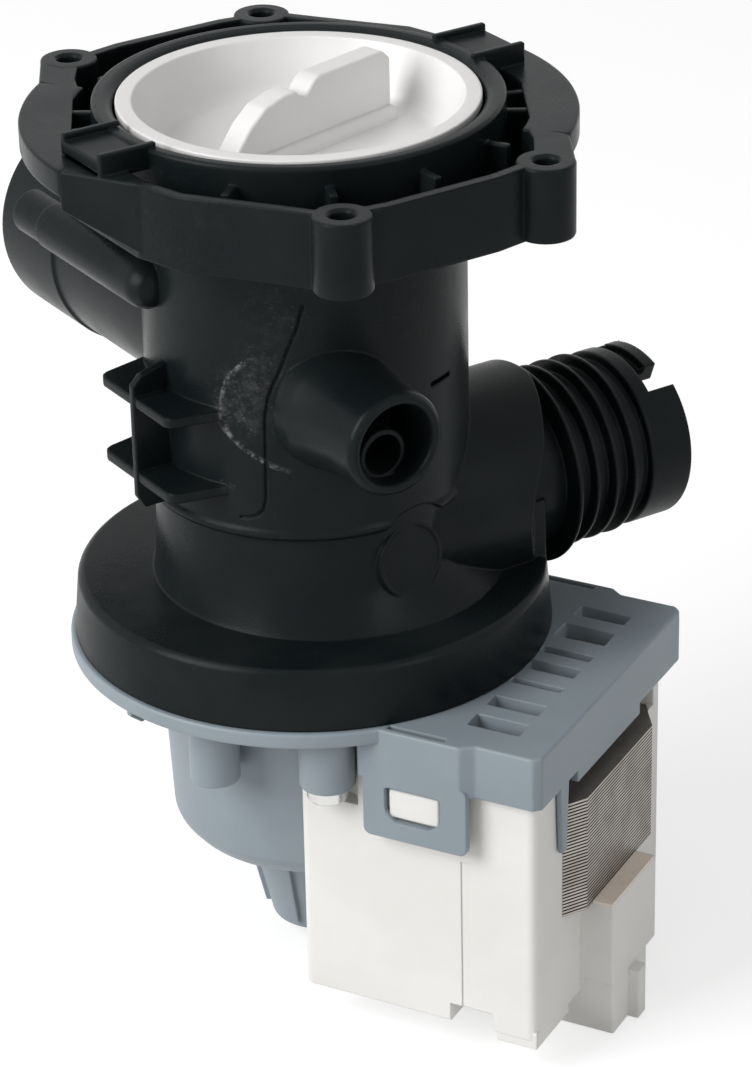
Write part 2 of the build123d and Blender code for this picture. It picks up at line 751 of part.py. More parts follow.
def motor_flange():
    body = flange_plate() + corner_leg() + clip_loop() + mirror_y(clip_loop()) + motor_can()
    inside = rod(SUPPORT_CIRCLE_R - SUPPORT_R, CAN_LOW, -PLATE_T)
    body += under_supports() + mirror_y(under_supports()) - inside
    for angle in SCREW_ANGLES:
        x, y = polar(SCREW_R, angle)
        body += rod(SCREW_BOSS_R, SCREW_BOSS_LOW, 0, x, y)
    for span in SLOT_SPANS:
        body -= block(SLOT_X, span, (-PLATE_T - CUT, CUT))
    body -= rod(WELL_BORE_R, WELL_FLOOR, CUT)
    body -= rod(RECESS_R, -RECESS_DEPTH, CUT)
    body -= rod(BOSS_SEAT_R, BOSS_SEAT_Z, WELL_FLOOR + CUT)
    body -= rod(BOSS_PIT_R, BOSS_PIT_Z, BOSS_SEAT_Z + CUT)
    for angle in SCREW_ANGLES:
        x, y = polar(SCREW_R, angle)
        body -= rod(SCREW_SHANK + SEAT_GAP, SCREW_BOSS_LOW - CUT, CUT, x, y)
    return body


def flange_seal():
    return Pos(0, 0, SEAL_WIRE) * Torus(SEAL_R, SEAL_WIRE)


def flange_screws():
    group = []
    for angle in SCREW_ANGLES:
        x, y = polar(SCREW_R, angle)
        screw = rod(SCREW_SHANK, SCREW_BOSS_LOW, SCREW_TIP, x, y)
        screw += rod(SCREW_HEAD_R, SCREW_HEAD_LOW, SCREW_BOSS_LOW, x, y)
        screw -= rod(SCREW_SLOT_R, SCREW_HEAD_LOW - CUT, SCREW_HEAD_LOW + SCREW_SLOT_DEPTH, x, y)
        group.append(screw)
    return Compound(children=group)


# Stator
def stack_outline():
    half = [
        (STACK_YOKE, LEG_IN), (STACK_X[0], LEG_IN), (STACK_X[0], LEG_OUT), (STACK_END_X, LEG_OUT),
        (STACK_X[1], STACK_END_Y),
    ]
    return half + [(x, -y) for x, y in reversed(half)]


def lamination_stack():
    body = prism(stack_outline(), STACK_Z[0], STACK_Z[1])
    corners = body.edges().filter_by(Axis.Z).sort_by(Axis.X)[:4].sort_by(Axis.Y)
    body = fillet([corners[0], corners[-1]], POLE_ROUND)
    return body - rod(POLE_BORE_R, STACK_Z[0] - CUT, STACK_Z[1] + CUT)


def leg_box(grow, xs):
    ys = (LEG_IN - grow, LEG_OUT + grow)
    return block(xs, ys, (STACK_Z[0] - grow, STACK_Z[1] + grow))


def core_grow():
    return LAMINA_GAP + BOBBIN_WALL


def flange_grow():
    return core_grow() + WINDING_T + FLANGE_OVER


def bobbin():
    body = leg_box(core_grow(), BOBBIN_X)
    for x in (BOBBIN_X[0], BOBBIN_X[1] - BOBBIN_FLANGE_T):
        body += leg_box(flange_grow(), (x, x + BOBBIN_FLANGE_T))
    return body - leg_box(LAMINA_GAP, (BOBBIN_X[0] - CUT, BOBBIN_X[1] + CUT))


def winding():
    xs = (BOBBIN_X[0] + BOBBIN_FLANGE_T, BOBBIN_X[1] - BOBBIN_FLANGE_T)
    body = leg_box(core_grow() + WINDING_T, xs)
    body = fillet(body.edges().filter_by(Axis.X), WINDING_ROUND)
    return body - leg_box(core_grow(), (xs[0] - CUT, xs[1] + CUT))


def mould_pocket():
    xs = (BOBBIN_X[0] - BOBBIN_POCKET, BOBBIN_X[1] + BOBBIN_POCKET)
    return leg_box(flange_grow() + BOBBIN_POCKET, xs)


def mould_side():
    body = block(LATCH_X, (-LATCH_OUT, -MOULD_Y + CUT), LATCH_Z)
    body += block(FOOT_X, (-FOOT_Y[1], -FOOT_Y[0]), (FOOT_LOW, MOULD_Z[0] + CUT))
    body += block(PAD_X, (-PAD_Y[1], -PAD_Y[0]), (MOULD_Z[1] - CUT, -PLATE_T))
    return body


def mould_side_cuts():
    body = block(NOTCH_X, (-MOULD_Y - CUT, -NOTCH_IN), (MOULD_Z[0] - CUT, NOTCH_TOP))
    groove_xs = (GROOVE_X - GROOVE_W / 2, GROOVE_X + GROOVE_W / 2)
    body += block(groove_xs, (-MOULD_Y - CUT, -MOULD_Y + GROOVE_DEPTH), (MOULD_Z[0], GROOVE_TOP))
    for angle in SCREW_ANGLES[:1]:
        x, y = polar(SCREW_R, angle)
        body += rod(BOSS_NOTCH_R, BOSS_NOTCH_LOW, MOULD_Z[1] + CUT, x, y)
    return body


def plug_block():
    body = block(PLUG_X, PLUG_UPPER_Y, (PLUG_UPPER_LOW, STACK_Z[0]))
    body += block(PLUG_X, PLUG_LOWER_Y, (PLUG_LOW, PLUG_UPPER_LOW))
    body += block((PLUG_X[1] - CUT, PLUG_RIB_X), PLUG_RIB_Y, (PLUG_LOW, PLUG_UPPER_LOW))
    return body


def stator_overmould():
    body = block(MOULD_X, (-MOULD_Y, MOULD_Y), MOULD_Z)
    body = fillet(body.edges().filter_by(Axis.Z), MOULD_EDGE)
    far_x = (MOULD_FAR_END, MOULD_X[1] + CUT)
    body -= block(far_x, (MOULD_FAR_Y, MOULD_Y + CUT), (MOULD_Z[0] - CUT, MOULD_Z[1] + CUT))
    body += mould_side() + mirror_y(mould_side()) & block((0, MOULD_FAR_END), (0, PLATE_R), (BOSS_LOW, 0))
    body -= mould_side_cuts() + mirror_y(mould_side_cuts())
    body += plug_block()
    body -= block((END_WINDOW_X, MOULD_X[1] + CUT), (-END_WINDOW_Y, END_WINDOW_Y), (STACK_Z[1], CUT))
    apron_x = (APRON_CLEAR_X, MOULD_X[1] + CUT)
    body -= block(apron_x, (-MOULD_Y - CUT, MOULD_Y + CUT), (APRON_LOW - SEAT_GAP, CUT))
    body -= rod(MOULD_CLEAR, MOULD_Z[0] - CUT, CUT)
    body -= mould_pocket() + mirror_y(mould_pocket())
    body -= prism(stack_outline(), STACK_Z[0], STACK_Z[1])
    body -= block(SOCKET_X, SOCKET_Y, (PLUG_LOW - CUT, SOCKET_TOP))
    for blade in blades():
        body -= blade
    return body


def blades():
    group = []
    for y in BLADE_YS:
        ys = (y - BLADE_T / 2, y + BLADE_T / 2)
        group.append(block((BLADE_X, BLADE_X + BLADE_W), ys, (BLADE_LOW, BLADE_TOP)))
    return group


def terminals():
    return Compound(children=blades())


def insulation_strip():
    return block(STRIP_X, STRIP_Y, (STACK_Z[0], STACK_Z[0] + STRIP_T))


# Bearings
def bearing_shield():
    body = rod(SHIELD_R, -RECESS_DEPTH, SHIELD_TOP) + rod(SHIELD_HUB_R, SHIELD_LOW, 0)
    body -= rod(SHIELD_POCKET_R, SHIELD_LOW - CUT, SHIELD_POCKET_TOP)
    body -= rod(SHIELD_HOLE_R, SHIELD_LOW, SHIELD_TOP + CUT)
    return body - ring(SHIELD_HUB_R + CUT, SHIELD_GROOVE_R, SHIELD_GROOVE_Z[0], SHIELD_GROOVE_Z[1])


def shield_seal():
    return Pos(0, 0, (SHIELD_GROOVE_Z[0] + SHIELD_GROOVE_Z[1]) / 2) * Torus(SHIELD_SEAL_R, SHIELD_SEAL_WIRE)


def front_mount():
    return ring(SHIELD_POCKET_R - PRESS_GAP, FRONT_BUSH_R + PRESS_GAP, *FRONT_MOUNT_Z)


def front_bushing():
    return ring(FRONT_BUSH_R, SHAFT_R + RUN_FIT, *FRONT_BUSH_Z)


def rear_mount():
    return ring(BOSS_SEAT_R - PRESS_GAP, REAR_BUSH_R + PRESS_GAP, *REAR_MOUNT_Z)


def rear_bushing():
    return ring(REAR_BUSH_R, SHAFT_R + RUN_FIT, *REAR_BUSH_Z)


def front_washer():
    top = FRONT_BUSH_Z[0] - SEAT_GAP
    return ring(WASHER_R, SHAFT_R + RUN_FIT, top - WASHER_T, top)


def rear_washer():
    low = REAR_BUSH_Z[1] + SEAT_GAP
    return ring(WASHER_R, SHAFT_R + RUN_FIT, low, low + WASHER_T)


# Rotor
def rotor_shaft():
    body = rod(SHAFT_R, SHAFT_LOW, SHAFT_TOP)
    return chamfer(body.edges().filter_by(GeomType.CIRCLE), SHAFT_EDGE)


def rotor_core():
    return ring(CORE_R, SHAFT_R + PRESS_GAP, *CORE_Z)


def rotor_magnet():
    return ring(MAGNET_R, CORE_R + PRESS_GAP, *MAGNET_Z)


def drive_dog():
    body = rod(DOG_HUB_R, *DOG_Z)
    body += sector(DOG_ARM_R, SHAFT_R + PRESS_GAP, -DOG_HALF, DOG_HALF, *DOG_Z)
    return body - rod(SHAFT_R + PRESS_GAP, DOG_Z[0] - CUT, DOG_Z[1] + CUT)


# Impeller
def impeller():
    body = rod(HUB_R, HUB_LOW, HUB_TOP) + rod(NOSE_R, HUB_TOP, NOSE_TOP)
    for i in range(VANE_COUNT):
        vane = block((VANE_IN_R, VANE_R), (-VANE_T / 2, VANE_T / 2), (HUB_LOW, VANE_TOP))
        body += about_z(vane, FULL_TURN * i / VANE_COUNT)
    body -= rod(HUB_CAVITY_R, HUB_LOW - CUT, HUB_ROOF)
    body += sector(HUB_CAVITY_R + CUT / 2, STOP_INNER_R, HALF_TURN - DOG_HALF, HALF_TURN + DOG_HALF,
                   HUB_LOW + LID_SPIGOT_T + PRESS_GAP, HUB_ROOF)
    return body - rod(SHAFT_R + RUN_FIT, HUB_LOW, NOSE_TOP + CUT)


def hub_lid():
    body = rod(HUB_R, HUB_LOW - LID_T, HUB_LOW)
    body += rod(HUB_CAVITY_R - PRESS_GAP, HUB_LOW - LID_T, HUB_LOW + LID_SPIGOT_T)
    return body - rod(LID_HOLE_R, HUB_LOW - LID_T - CUT, HUB_LOW + CUT)


# Filter cap
def grip_bar():
    face = make_face(Polyline(*[(s, 0, z) for s, z in GRIP_POINTS], close=True))
    bar = Pos(0, GRIP_T / 2, 0) * extrude(face, amount=GRIP_T, dir=(0, -1, 0))
    bar += block(GRIP_FOOT_X, (-GRIP_FOOT_T / 2, GRIP_FOOT_T / 2), (CUP_UNDER, GRIP_FOOT_TOP))
    return about_z(bar, GRIP_TURN)


def filter_cap():
    body = turned([(0, CAP_LOW), (CAP_R, CAP_LOW), (CAP_R, CAP_TOP), (0, CAP_TOP)])
    body -= turned([
        (0, CUP_FLOOR), (CUP_FLOOR_R, CUP_FLOOR), (CUP_TOP_R, CAP_TOP), (CUP_TOP_R, CAP_TOP + CUT),
        (0, CAP_TOP + CUT),
    ])
    body -= ring(CAP_HOLLOW_R, CAP_HOLLOW_IN_R, CAP_LOW - CUT, CAP_HOLLOW_TOP)
    body += rod(PLUG_R, PLUG_BOTTOM, CUP_UNDER)
    body -= rod(PLUG_BORE_R, PLUG_BOTTOM - CUT, CUP_UNDER)
    half = CAP_GROOVE_W / 2
    body -= ring(PLUG_R + CUT, PLUG_R - CAP_GROOVE_DEPTH, CAP_SEAL_Z - half, CAP_SEAL_Z + half)
    body += rod(SPIGOT_R, SPIGOT_LOW, CUP_FLOOR) + rod(COLLAR_R, SPIGOT_LOW, SPIGOT_LOW + COLLAR_T)
    body += grip_bar()
    for i in range(THREAD_STARTS):
        start = FULL_TURN * i / THREAD_STARTS
        low = RING_THREAD_LOW - THREAD_LEAD / THREAD_STARTS / 2
        body += helical_rib(CAP_R - THREAD_BITE, CAP_THREAD_CREST, low, start, CAP_THREAD_SWEEP)
    return body


def cap_seal():
    return Pos(0, 0, CAP_SEAL_Z) * Torus(CAP_SEAL_R, CAP_SEAL_WIRE)


# Strainer
def strainer():
    deck_low = CAGE_TOP - CAGE_DECK
    band = (CAGE_BAND_LOW, CAGE_BAND_HIGH)
    body = ring(CAGE_R, CAGE_R - CAGE_WALL, CAGE_LOW, CAGE_TOP)
    for i in range(CAGE_SLOTS):
        angle = CAGE_FIRST_ANGLE + CAGE_STEP_ANGLE * i
        xs = (CAGE_R - CAGE_WALL - CUT, CAGE_R + CUT)
        body -= about_z(block(xs, (-CAGE_SLOT_W / 2, CAGE_SLOT_W / 2), band), angle)
    body -= block((-CAGE_R - CUT, 0), (INLET_Y - MOUTH_HALF, INLET_Y + MOUTH_HALF), band)
    body += rod(CAGE_R, deck_low, CAGE_TOP)
    for i in range(DECK_HOLES):
        x, y = polar(DECK_CIRCLE_R, FULL_TURN * i / DECK_HOLES)
        body -= rod(DECK_HOLE_R, deck_low - CUT, CAGE_TOP + CUT, x, y)
    body += rod(HUB_TUBE_R, HUB_TUBE_LOW, CAGE_TOP)
    for angle in (QUARTER, -QUARTER):
        guide = block((CAGE_R - CAGE_WALL, GUIDE_R), (-GUIDE_W / 2, GUIDE_W / 2), (GUIDE_LOW, GUIDE_HIGH))
        slot_in = BARREL_BORE_R - KEY_DEPTH - SLIDE_GAP
        half = KEY_W / 2 + SLIDE_GAP
        guide -= block((slot_in, GUIDE_R + CUT), (-half, half), (GUIDE_LOW - CUT, GUIDE_HIGH + CUT))
        body += about_z(guide, angle)
    return body - rod(STRAINER_BORE_R, HUB_TUBE_LOW - CUT, CAGE_TOP + CUT)


def in_motor_direction(shape):
    return about_z(shape, MOTOR_TURN)


def build_parts():
    parts = {
        "pump_housing": pump_housing(),
        "flange_seal": flange_seal(),
        "filter_cap": filter_cap(),
        "cap_seal": cap_seal(),
        "strainer": strainer(),
    }
    motor = {
        "motor_flange": motor_flange(),
        "flange_screws": flange_screws(),
        "stator_overmould": stator_overmould(),
        "lamination_stack": lamination_stack(),
        "bobbin_left": bobbin(),
        "bobbin_right": mirror_y(bobbin()),
        "winding_left": winding(),
        "winding_right": mirror_y(winding()),
        "terminals": terminals(),
        "insulation_strip": insulation_strip(),
        "bearing_shield": bearing_shield(),
        "shield_seal": shield_seal(),
        "front_mount": front_mount(),
        "front_bushing": front_bushing(),
        "front_washer": front_washer(),
        "rear_mount": rear_mount(),
        "rear_bushing": rear_bushing(),
        "rear_washer": rear_washer(),
        "rotor_shaft": rotor_shaft(),
        "rotor_core": rotor_core(),
        "rotor_magnet": rotor_magnet(),
        "drive_dog": drive_dog(),
        "impeller": impeller(),
        "impeller_hub_lid": hub_lid(),
    }
    for name, shape in motor.items():
        parts[name] = in_motor_direction(shape)
    return parts


def main():
    os.makedirs("parts", exist_ok=True)
    for name, shape in build_parts().items():
        export_step(Pos(0, 0, -EAR_TOP) * shape, f"parts/{name}.step")


main()
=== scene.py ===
"""The looks of the washer drain pump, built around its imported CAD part.

Sizes are in millimetres. On the bench, heights are measured from the motor plate's top face and the
rotor turns about Z. A finished piece is lowered until the flange ears' top face lies at zero, and
scaled to metres. OVERRUN is how far a cutter reaches past what it cuts, and how far a joined blank
reaches into its carrier."""

import json
import logging
import math
from dataclasses import dataclass, field
from enum import Enum
from functools import cached_property
from typing import Any, Iterable, Optional, Sequence, Union

import bmesh
import bpy
from mathutils import Matrix, Vector

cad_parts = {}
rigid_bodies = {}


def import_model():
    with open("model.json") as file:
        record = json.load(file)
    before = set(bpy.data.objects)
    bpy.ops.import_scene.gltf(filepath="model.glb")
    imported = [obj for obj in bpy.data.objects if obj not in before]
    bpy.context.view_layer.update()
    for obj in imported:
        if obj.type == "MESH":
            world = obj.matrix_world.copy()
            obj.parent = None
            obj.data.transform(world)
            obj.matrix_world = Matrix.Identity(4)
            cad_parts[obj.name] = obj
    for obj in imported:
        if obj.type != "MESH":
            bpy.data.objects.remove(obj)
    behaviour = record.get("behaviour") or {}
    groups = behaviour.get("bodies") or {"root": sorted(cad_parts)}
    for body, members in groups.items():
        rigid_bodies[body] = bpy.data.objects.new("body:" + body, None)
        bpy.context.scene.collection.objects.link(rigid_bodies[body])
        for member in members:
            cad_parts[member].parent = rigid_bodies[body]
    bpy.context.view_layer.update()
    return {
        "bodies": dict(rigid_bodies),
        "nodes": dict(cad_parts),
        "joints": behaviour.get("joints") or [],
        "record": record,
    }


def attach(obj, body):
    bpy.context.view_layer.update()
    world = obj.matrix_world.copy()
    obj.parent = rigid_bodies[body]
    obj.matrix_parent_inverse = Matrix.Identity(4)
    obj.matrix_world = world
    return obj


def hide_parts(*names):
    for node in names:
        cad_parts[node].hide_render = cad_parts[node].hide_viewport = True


LOG = logging.getLogger("drain_pump")

Pair = tuple[float, float]
Triple = tuple[float, float, float]

MILLIMETRE = 0.001
EAR_FACE = 104.5
MOTOR_TURN = 29.8
MERGE = 0.0001
OVERRUN = 2.0


class Body(Enum):
    """The bodies that the pieces built here ride on."""

    PUMP = "pump"
    CAP = "cap"


class Slot(Enum):
    """The record's material slots."""

    BLACK = "black_plastic"
    GREY = "grey_plastic"
    WHITE = "white_cap"
    CREAM = "cream_plastic"
    SHEETS = "sheet_steel"
    SCREW = "screw_steel"
    COPPER = "copper"
    BRASS = "brass"
    FIBRE = "tan_fibre"
    RUBBER = "black_rubber"
    BRONZE = "bearing_bronze"
    FERRITE = "ferrite"
    SHAFT = "shaft_steel"
    WHEEL = "impeller_plastic"


class Heading(Enum):
    """Where a blank's own Z axis points once it is laid down."""

    UP = "up"
    ALONG_X = "x"
    ALONG_Y = "y"


class Recess(Enum):
    """The drive recess in a screw head."""

    CROSS = "cross"
    SLOT = "slot"


def polar(radius: float, angle: float) -> Pair:
    """The point at a radius and an angle in degrees.

    Args:
        radius: Distance from the axis.
        angle: Degrees from +X towards +Y.

    Returns:
        Its x and y.
    """
    return (radius * math.cos(math.radians(angle)), radius * math.sin(math.radians(angle)))


def grey(value: float) -> tuple[float, float, float, float]:
    """An opaque grey of a value."""
    return (value, value, value, 1.0)


def both_ends(points: Sequence[Pair]) -> list[Pair]:
    """An outline made of some points and the same points turned half round the axis."""
    return list(points) + [(-x, -y) for x, y in points]


def mirrored(points: Sequence[Pair]) -> list[Pair]:
    """An outline made of some points and their mirror images across the X axis."""
    return list(points) + [(x, -y) for x, y in reversed(points)]


class Blank:
    """One closed solid on the bench."""

    def __init__(self) -> None:
        """Starts with an empty mesh."""
        self.bm = bmesh.new()

    def _tidy(self) -> "Blank":
        """Closes seams and points the faces outwards."""
        bmesh.ops.remove_doubles(self.bm, verts=self.bm.verts[:], dist=MERGE)
        bmesh.ops.recalc_face_normals(self.bm, faces=self.bm.faces[:])
        return self

    @classmethod
    def turned(cls, profile: Sequence[Pair], steps: int = 96) -> "Blank":
        """Turns a profile about Z.

        Args:
            profile: Radius and height of each corner. It starts and ends on the axis, or goes round.
            steps: How many facets the turn has.

        Returns:
            The turned solid.
        """
        blank = cls()
        corners = [blank.bm.verts.new((r, 0.0, z)) for r, z in profile]
        on_axis = profile[0][0] == 0.0 and profile[-1][0] == 0.0
        following = corners[1:] if on_axis else corners[1:] + corners[:1]
        edges = [blank.bm.edges.new(pair) for pair in zip(corners, following)]
        bmesh.ops.spin(blank.bm, geom=corners + edges, cent=(0, 0, 0), axis=(0, 0, 1),
                       angle=math.tau, steps=steps, use_merge=True, use_duplicate=False)
        return blank._tidy()

    @classmethod
    def rod(cls, radius: float, low: float, high: float, at: Pair = (0.0, 0.0),
            top_radius: Optional[float] = None, steps: int = 48) -> "Blank":
        """A round rod or cone standing on a height.

        Args:
            radius: Radius at the low end.
            low: Height of the low end.
            high: Height of the high end.
            at: Where its axis stands.
            top_radius: Radius at the high end, the same if left out.
            steps: Facets around.

        Returns:
            The rod.
        """
        blank = cls()
        upper = radius if top_radius is None else top_radius
        place = Matrix.Translation((at[0], at[1], (low + high) / 2))
        bmesh.ops.create_cone(blank.bm, cap_ends=True, cap_tris=False, segments=steps, radius1=radius,
                              radius2=upper, depth=high - low, matrix=place)
        return blank._tidy()

    @classmethod
    def box(cls, xs: Pair, ys: Pair, zs: Pair) -> "Blank":
        """A box between two x, two y and two z values."""
        blank = cls()
        middle = Vector(((xs[0] + xs[1]) / 2, (ys[0] + ys[1]) / 2, (zs[0] + zs[1]) / 2))
        sides = Matrix.Diagonal((xs[1] - xs[0], ys[1] - ys[0], zs[1] - zs[0], 1.0))
        bmesh.ops.create_cube(blank.bm, size=1.0, matrix=Matrix.Translation(middle) @ sides)
        return blank._tidy()

    @classmethod
    def slab(cls, outline: Sequence[Pair], low: float, high: float) -> "Blank":
        """A flat plate of any outline.

        Args:
            outline: Its corners in order.
            low: Height of its underside.
            high: Height of its top.

        Returns:
            The plate.
        """
        blank = cls()
        face = blank.bm.faces.new([blank.bm.verts.new((x, y, low)) for x, y in outline])
        grown = bmesh.ops.extrude_face_region(blank.bm, geom=[face])["geom"]
        lifted = [item for item in grown if isinstance(item, bmesh.types.BMVert)]
        bmesh.ops.translate(blank.bm, verts=lifted, vec=(0.0, 0.0, high - low))
        return blank._tidy()

    @classmethod
    def tray(cls, outline: Sequence[Pair], low: float, high: float, wall: float, floor: float) -> "Blank":
        """An open tray: a plate with its top pushed in.

        Args:
            outline: The outer corners in order.
            low: Height of its underside.
            high: Height of its rim.
            wall: Thickness of the wall.
            floor: Height of the floor's top.

        Returns:
            The tray.
        """
        blank = cls.slab(outline, low, high)
        top = max(blank.bm.faces, key=lambda face: face.calc_center_median().z)
        bmesh.ops.inset_region(blank.bm, faces=[top], thickness=wall, depth=0.0, use_even_offset=True,
                               use_boundary=True)
        grown = bmesh.ops.extrude_face_region(blank.bm, geom=[top])["geom"]
        pushed = [item for item in grown if isinstance(item, bmesh.types.BMVert)]
        bmesh.ops.translate(blank.bm, verts=pushed, vec=(0.0, 0.0, floor - high))
        if top.is_valid:
            bmesh.ops.delete(blank.bm, geom=[top], context="FACES_ONLY")
        return blank._tidy()

    @classmethod
    def bridged(cls, sections: Sequence[tuple[float, float, Pair]], steps: int = 96) -> "Blank":
        """A skin over round sections one above the other.

        Args:
            sections: Height, radius and middle of each section, in order.
            steps: Facets around.

        Returns:
            The closed solid.
        """
        blank = cls()
        rings = []
        for height, radius, middle in sections:
            place = Matrix.Translation((middle[0], middle[1], height))
            made = bmesh.ops.create_circle(blank.bm, cap_ends=False, segments=steps, radius=radius,
                                           matrix=place)
            rings.append(list({edge for vert in made["verts"] for edge in vert.link_edges}))
        for lower, upper in zip(rings, rings[1:]):
            bmesh.ops.bridge_loops(blank.bm, edges=lower + upper)
        for end in (rings[0], rings[-1]):
            bmesh.ops.edgeloop_fill(blank.bm, edges=end)
        return blank._tidy()

    @classmethod
    def swept(cls, inner: float, outer: float, low: float, high: float, first: float, sweep: float,
              rise: float = 0.0, steps: int = 24) -> "Blank":
        """A rectangular section taken part of the way round the axis, rising as it goes.

        Args:
            inner: Inner radius.
            outer: Outer radius.
            low: Height of the underside where it starts.
            high: Height of the top where it starts.
            first: Angle where it starts, in degrees.
            sweep: How far round it goes, in degrees.
            rise: How much it climbs over the whole way.
            steps: Facets along the way.

        Returns:
            The closed solid.
        """
        blank = cls()
        corners = [(inner, low), (outer, low), (outer, high), (inner, high)]
        face = blank.bm.faces.new([blank.bm.verts.new((r, 0.0, z)) for r, z in corners])
        bmesh.ops.spin(blank.bm, geom=[face], cent=(0, 0, 0), axis=(0, 0, 1), dvec=(0, 0, rise / steps),
                       angle=math.radians(sweep), steps=steps, use_merge=False, use_duplicate=False)
        return blank._tidy().about(first)

    def bevel(self, edges: Sequence[bmesh.types.BMEdge], width: float, segments: int) -> "Blank":
        """Rounds some edges.

        Args:
            edges: The edges.
            width: How far the rounding reaches from each edge.
            segments: Facets across it.

        Returns:
            This blank.
        """
        bmesh.ops.bevel(self.bm, geom=edges, offset=width, offset_type="OFFSET", segments=segments,
                        profile=0.5, affect="EDGES", material=-1, clamp_overlap=True)
        return self

    def soften(self, width: float, segments: int = 2, sharper_than: float = 28.0) -> "Blank":
        """Rounds every edge sharper than an angle.

        Args:
            width: How far the rounding reaches from the edge.
            segments: Facets across it.
            sharper_than: The angle between two faces, in degrees.

        Returns:
            This blank.
        """
        limit = math.radians(sharper_than)
        edges = [edge for edge in self.bm.edges if edge.calc_face_angle(0.0) > limit]
        return self.bevel(edges, width, segments)

    def round_along(self, axis: Triple, width: float, segments: int = 4) -> "Blank":
        """Rounds the edges that run along a direction.

        Args:
            axis: The direction.
            width: How far the rounding reaches from the edge.
            segments: Facets across it.

        Returns:
            This blank.
        """
        line = Vector(axis)
        edges = [edge for edge in self.bm.edges if edge.calc_face_angle(0.0) > math.radians(20.0)
                 and abs((edge.verts[1].co - edge.verts[0].co).normalized().dot(line)) > 0.999]
        return self.bevel(edges, width, segments)

    def move(self, matrix: Matrix) -> "Blank":
        """Moves the blank by a matrix."""
        bmesh.ops.transform(self.bm, matrix=matrix, verts=self.bm.verts[:])
        return self

    def shift(self, x: float = 0.0, y: float = 0.0, z: float = 0.0) -> "Blank":
        """Moves the blank by distances."""
        return self.move(Matrix.Translation((x, y, z)))

    def about(self, angle: float) -> "Blank":
        """Turns the blank about the rotor axis by degrees."""
        return self.move(Matrix.Rotation(math.radians(angle), 4, "Z"))

    def laid(self, heading: Heading, at: Triple) -> "Blank":
        """Lays the blank down so that its Z axis has a heading, and moves its origin.

        Args:
            heading: Where its own Z axis points afterwards.
            at: Where its origin goes.

        Returns:
            This blank.
        """
        turns = {
            Heading.UP: Matrix.Identity(4),
            Heading.ALONG_X: Matrix.Rotation(math.pi / 2, 4, "Y"),
            Heading.ALONG_Y: Matrix.Rotation(-math.pi / 2, 4, "X"),
        }
        return self.move(Matrix.Translation(at) @ turns[heading])

    def upright_xz(self, y: float) -> "Blank":
        """Stands a plate up: its outline's second value becomes height, and it reaches back from y."""
        return self.move(Matrix.Translation((0.0, y, 0.0)) @ Matrix.Rotation(math.pi / 2, 4, "X"))

    def upright_yz(self, x: float) -> "Blank":
        """Stands a plate up across X: its outline is read as y and height, and it reaches on from x."""
        turn = Matrix(((0, 0, 1, x), (1, 0, 0, 0), (0, 1, 0, 0), (0, 0, 0, 1)))
        return self.move(turn)

    def copy(self) -> "Blank":
        """A second blank like this one."""
        other = Blank()
        other.bm = self.bm.copy()
        return other

    def twin(self) -> "Blank":
        """A copy turned half round the rotor axis."""
        return self.copy().about(180.0)

    def other_side(self) -> "Blank":
        """A mirror image across the XZ plane."""
        other = self.copy().move(Matrix.Diagonal((1.0, -1.0, 1.0, 1.0)))
        return other._tidy()

    def tumbled(self, sideways: float, at: Triple, azimuth: float) -> "Blank":
        """Tips the blank's Z axis outwards, turns it to an azimuth and moves it.

        Args:
            sideways: How far its axis tips from upright, in degrees.
            at: Where its origin goes.
            azimuth: The direction it tips to, in degrees.

        Returns:
            This blank.
        """
        tip = Matrix.Rotation(math.radians(sideways), 4, "Y")
        turn = Matrix.Rotation(math.radians(azimuth), 4, "Z")
        return self.move(Matrix.Translation(at) @ turn @ tip)

    def mesh(self, name: str) -> bpy.types.Mesh:
        """Writes the blank to a new mesh and lets it go."""
        made = bpy.data.meshes.new(name)
        self.bm.to_mesh(made)
        self.bm.free()
        return made


class Moulding:
    """Joins and cuts blanks until one closed piece is left."""

    def __init__(self, name: str, first: Blank) -> None:
        """Starts from a first solid.

        Args:
            name: The finished piece's name.
            first: The solid that the rest is joined to or cut from.
        """
        self.name = name
        self.thing = bpy.data.objects.new(name, first.mesh(name))
        bpy.context.scene.collection.objects.link(self.thing)
        self.tools: list[bpy.types.Object] = []

    def _step(self, operation: str, blanks: Iterable[Blank]) -> "Moulding":
        """Adds one joining or cutting step for each blank."""
        for blank in blanks:
            tool = bpy.data.objects.new("tool", blank.mesh("tool"))
            bpy.context.scene.collection.objects.link(tool)
            self.tools.append(tool)
            step = self.thing.modifiers.new("step", "BOOLEAN")
            step.operation = operation
            step.solver = "MANIFOLD"
            step.object = tool
        return self

    def join(self, *blanks: Blank) -> "Moulding":
        """Joins solids to the piece."""
        return self._step("UNION", blanks)

    def cut(self, *blanks: Blank) -> "Moulding":
        """Cuts solids out of the piece."""
        return self._step("DIFFERENCE", blanks)

    def keep_inside(self, blank: Blank) -> "Moulding":
        """Keeps only what lies inside a solid."""
        return self._step("INTERSECT", [blank])

    def _evaluated(self) -> bpy.types.Mesh:
        """The mesh with every step done."""
        graph = bpy.context.evaluated_depsgraph_get()
        return bpy.data.meshes.new_from_object(self.thing.evaluated_get(graph))

    def blank(self) -> Blank:
        """Ends the work and hands the result back as a blank."""
        mesh = self._evaluated()
        self._clear()
        result = Blank()
        result.bm.from_mesh(mesh)
        return result

    def _clear(self) -> None:
        """Takes the tools off the bench."""
        for tool in self.tools + [self.thing]:
            bpy.data.objects.remove(tool)

    def finished(self) -> bpy.types.Mesh:
        """Ends the work.

        Returns:
            The finished mesh, still on the bench in millimetres.
        """
        return self.blank().mesh(self.name)


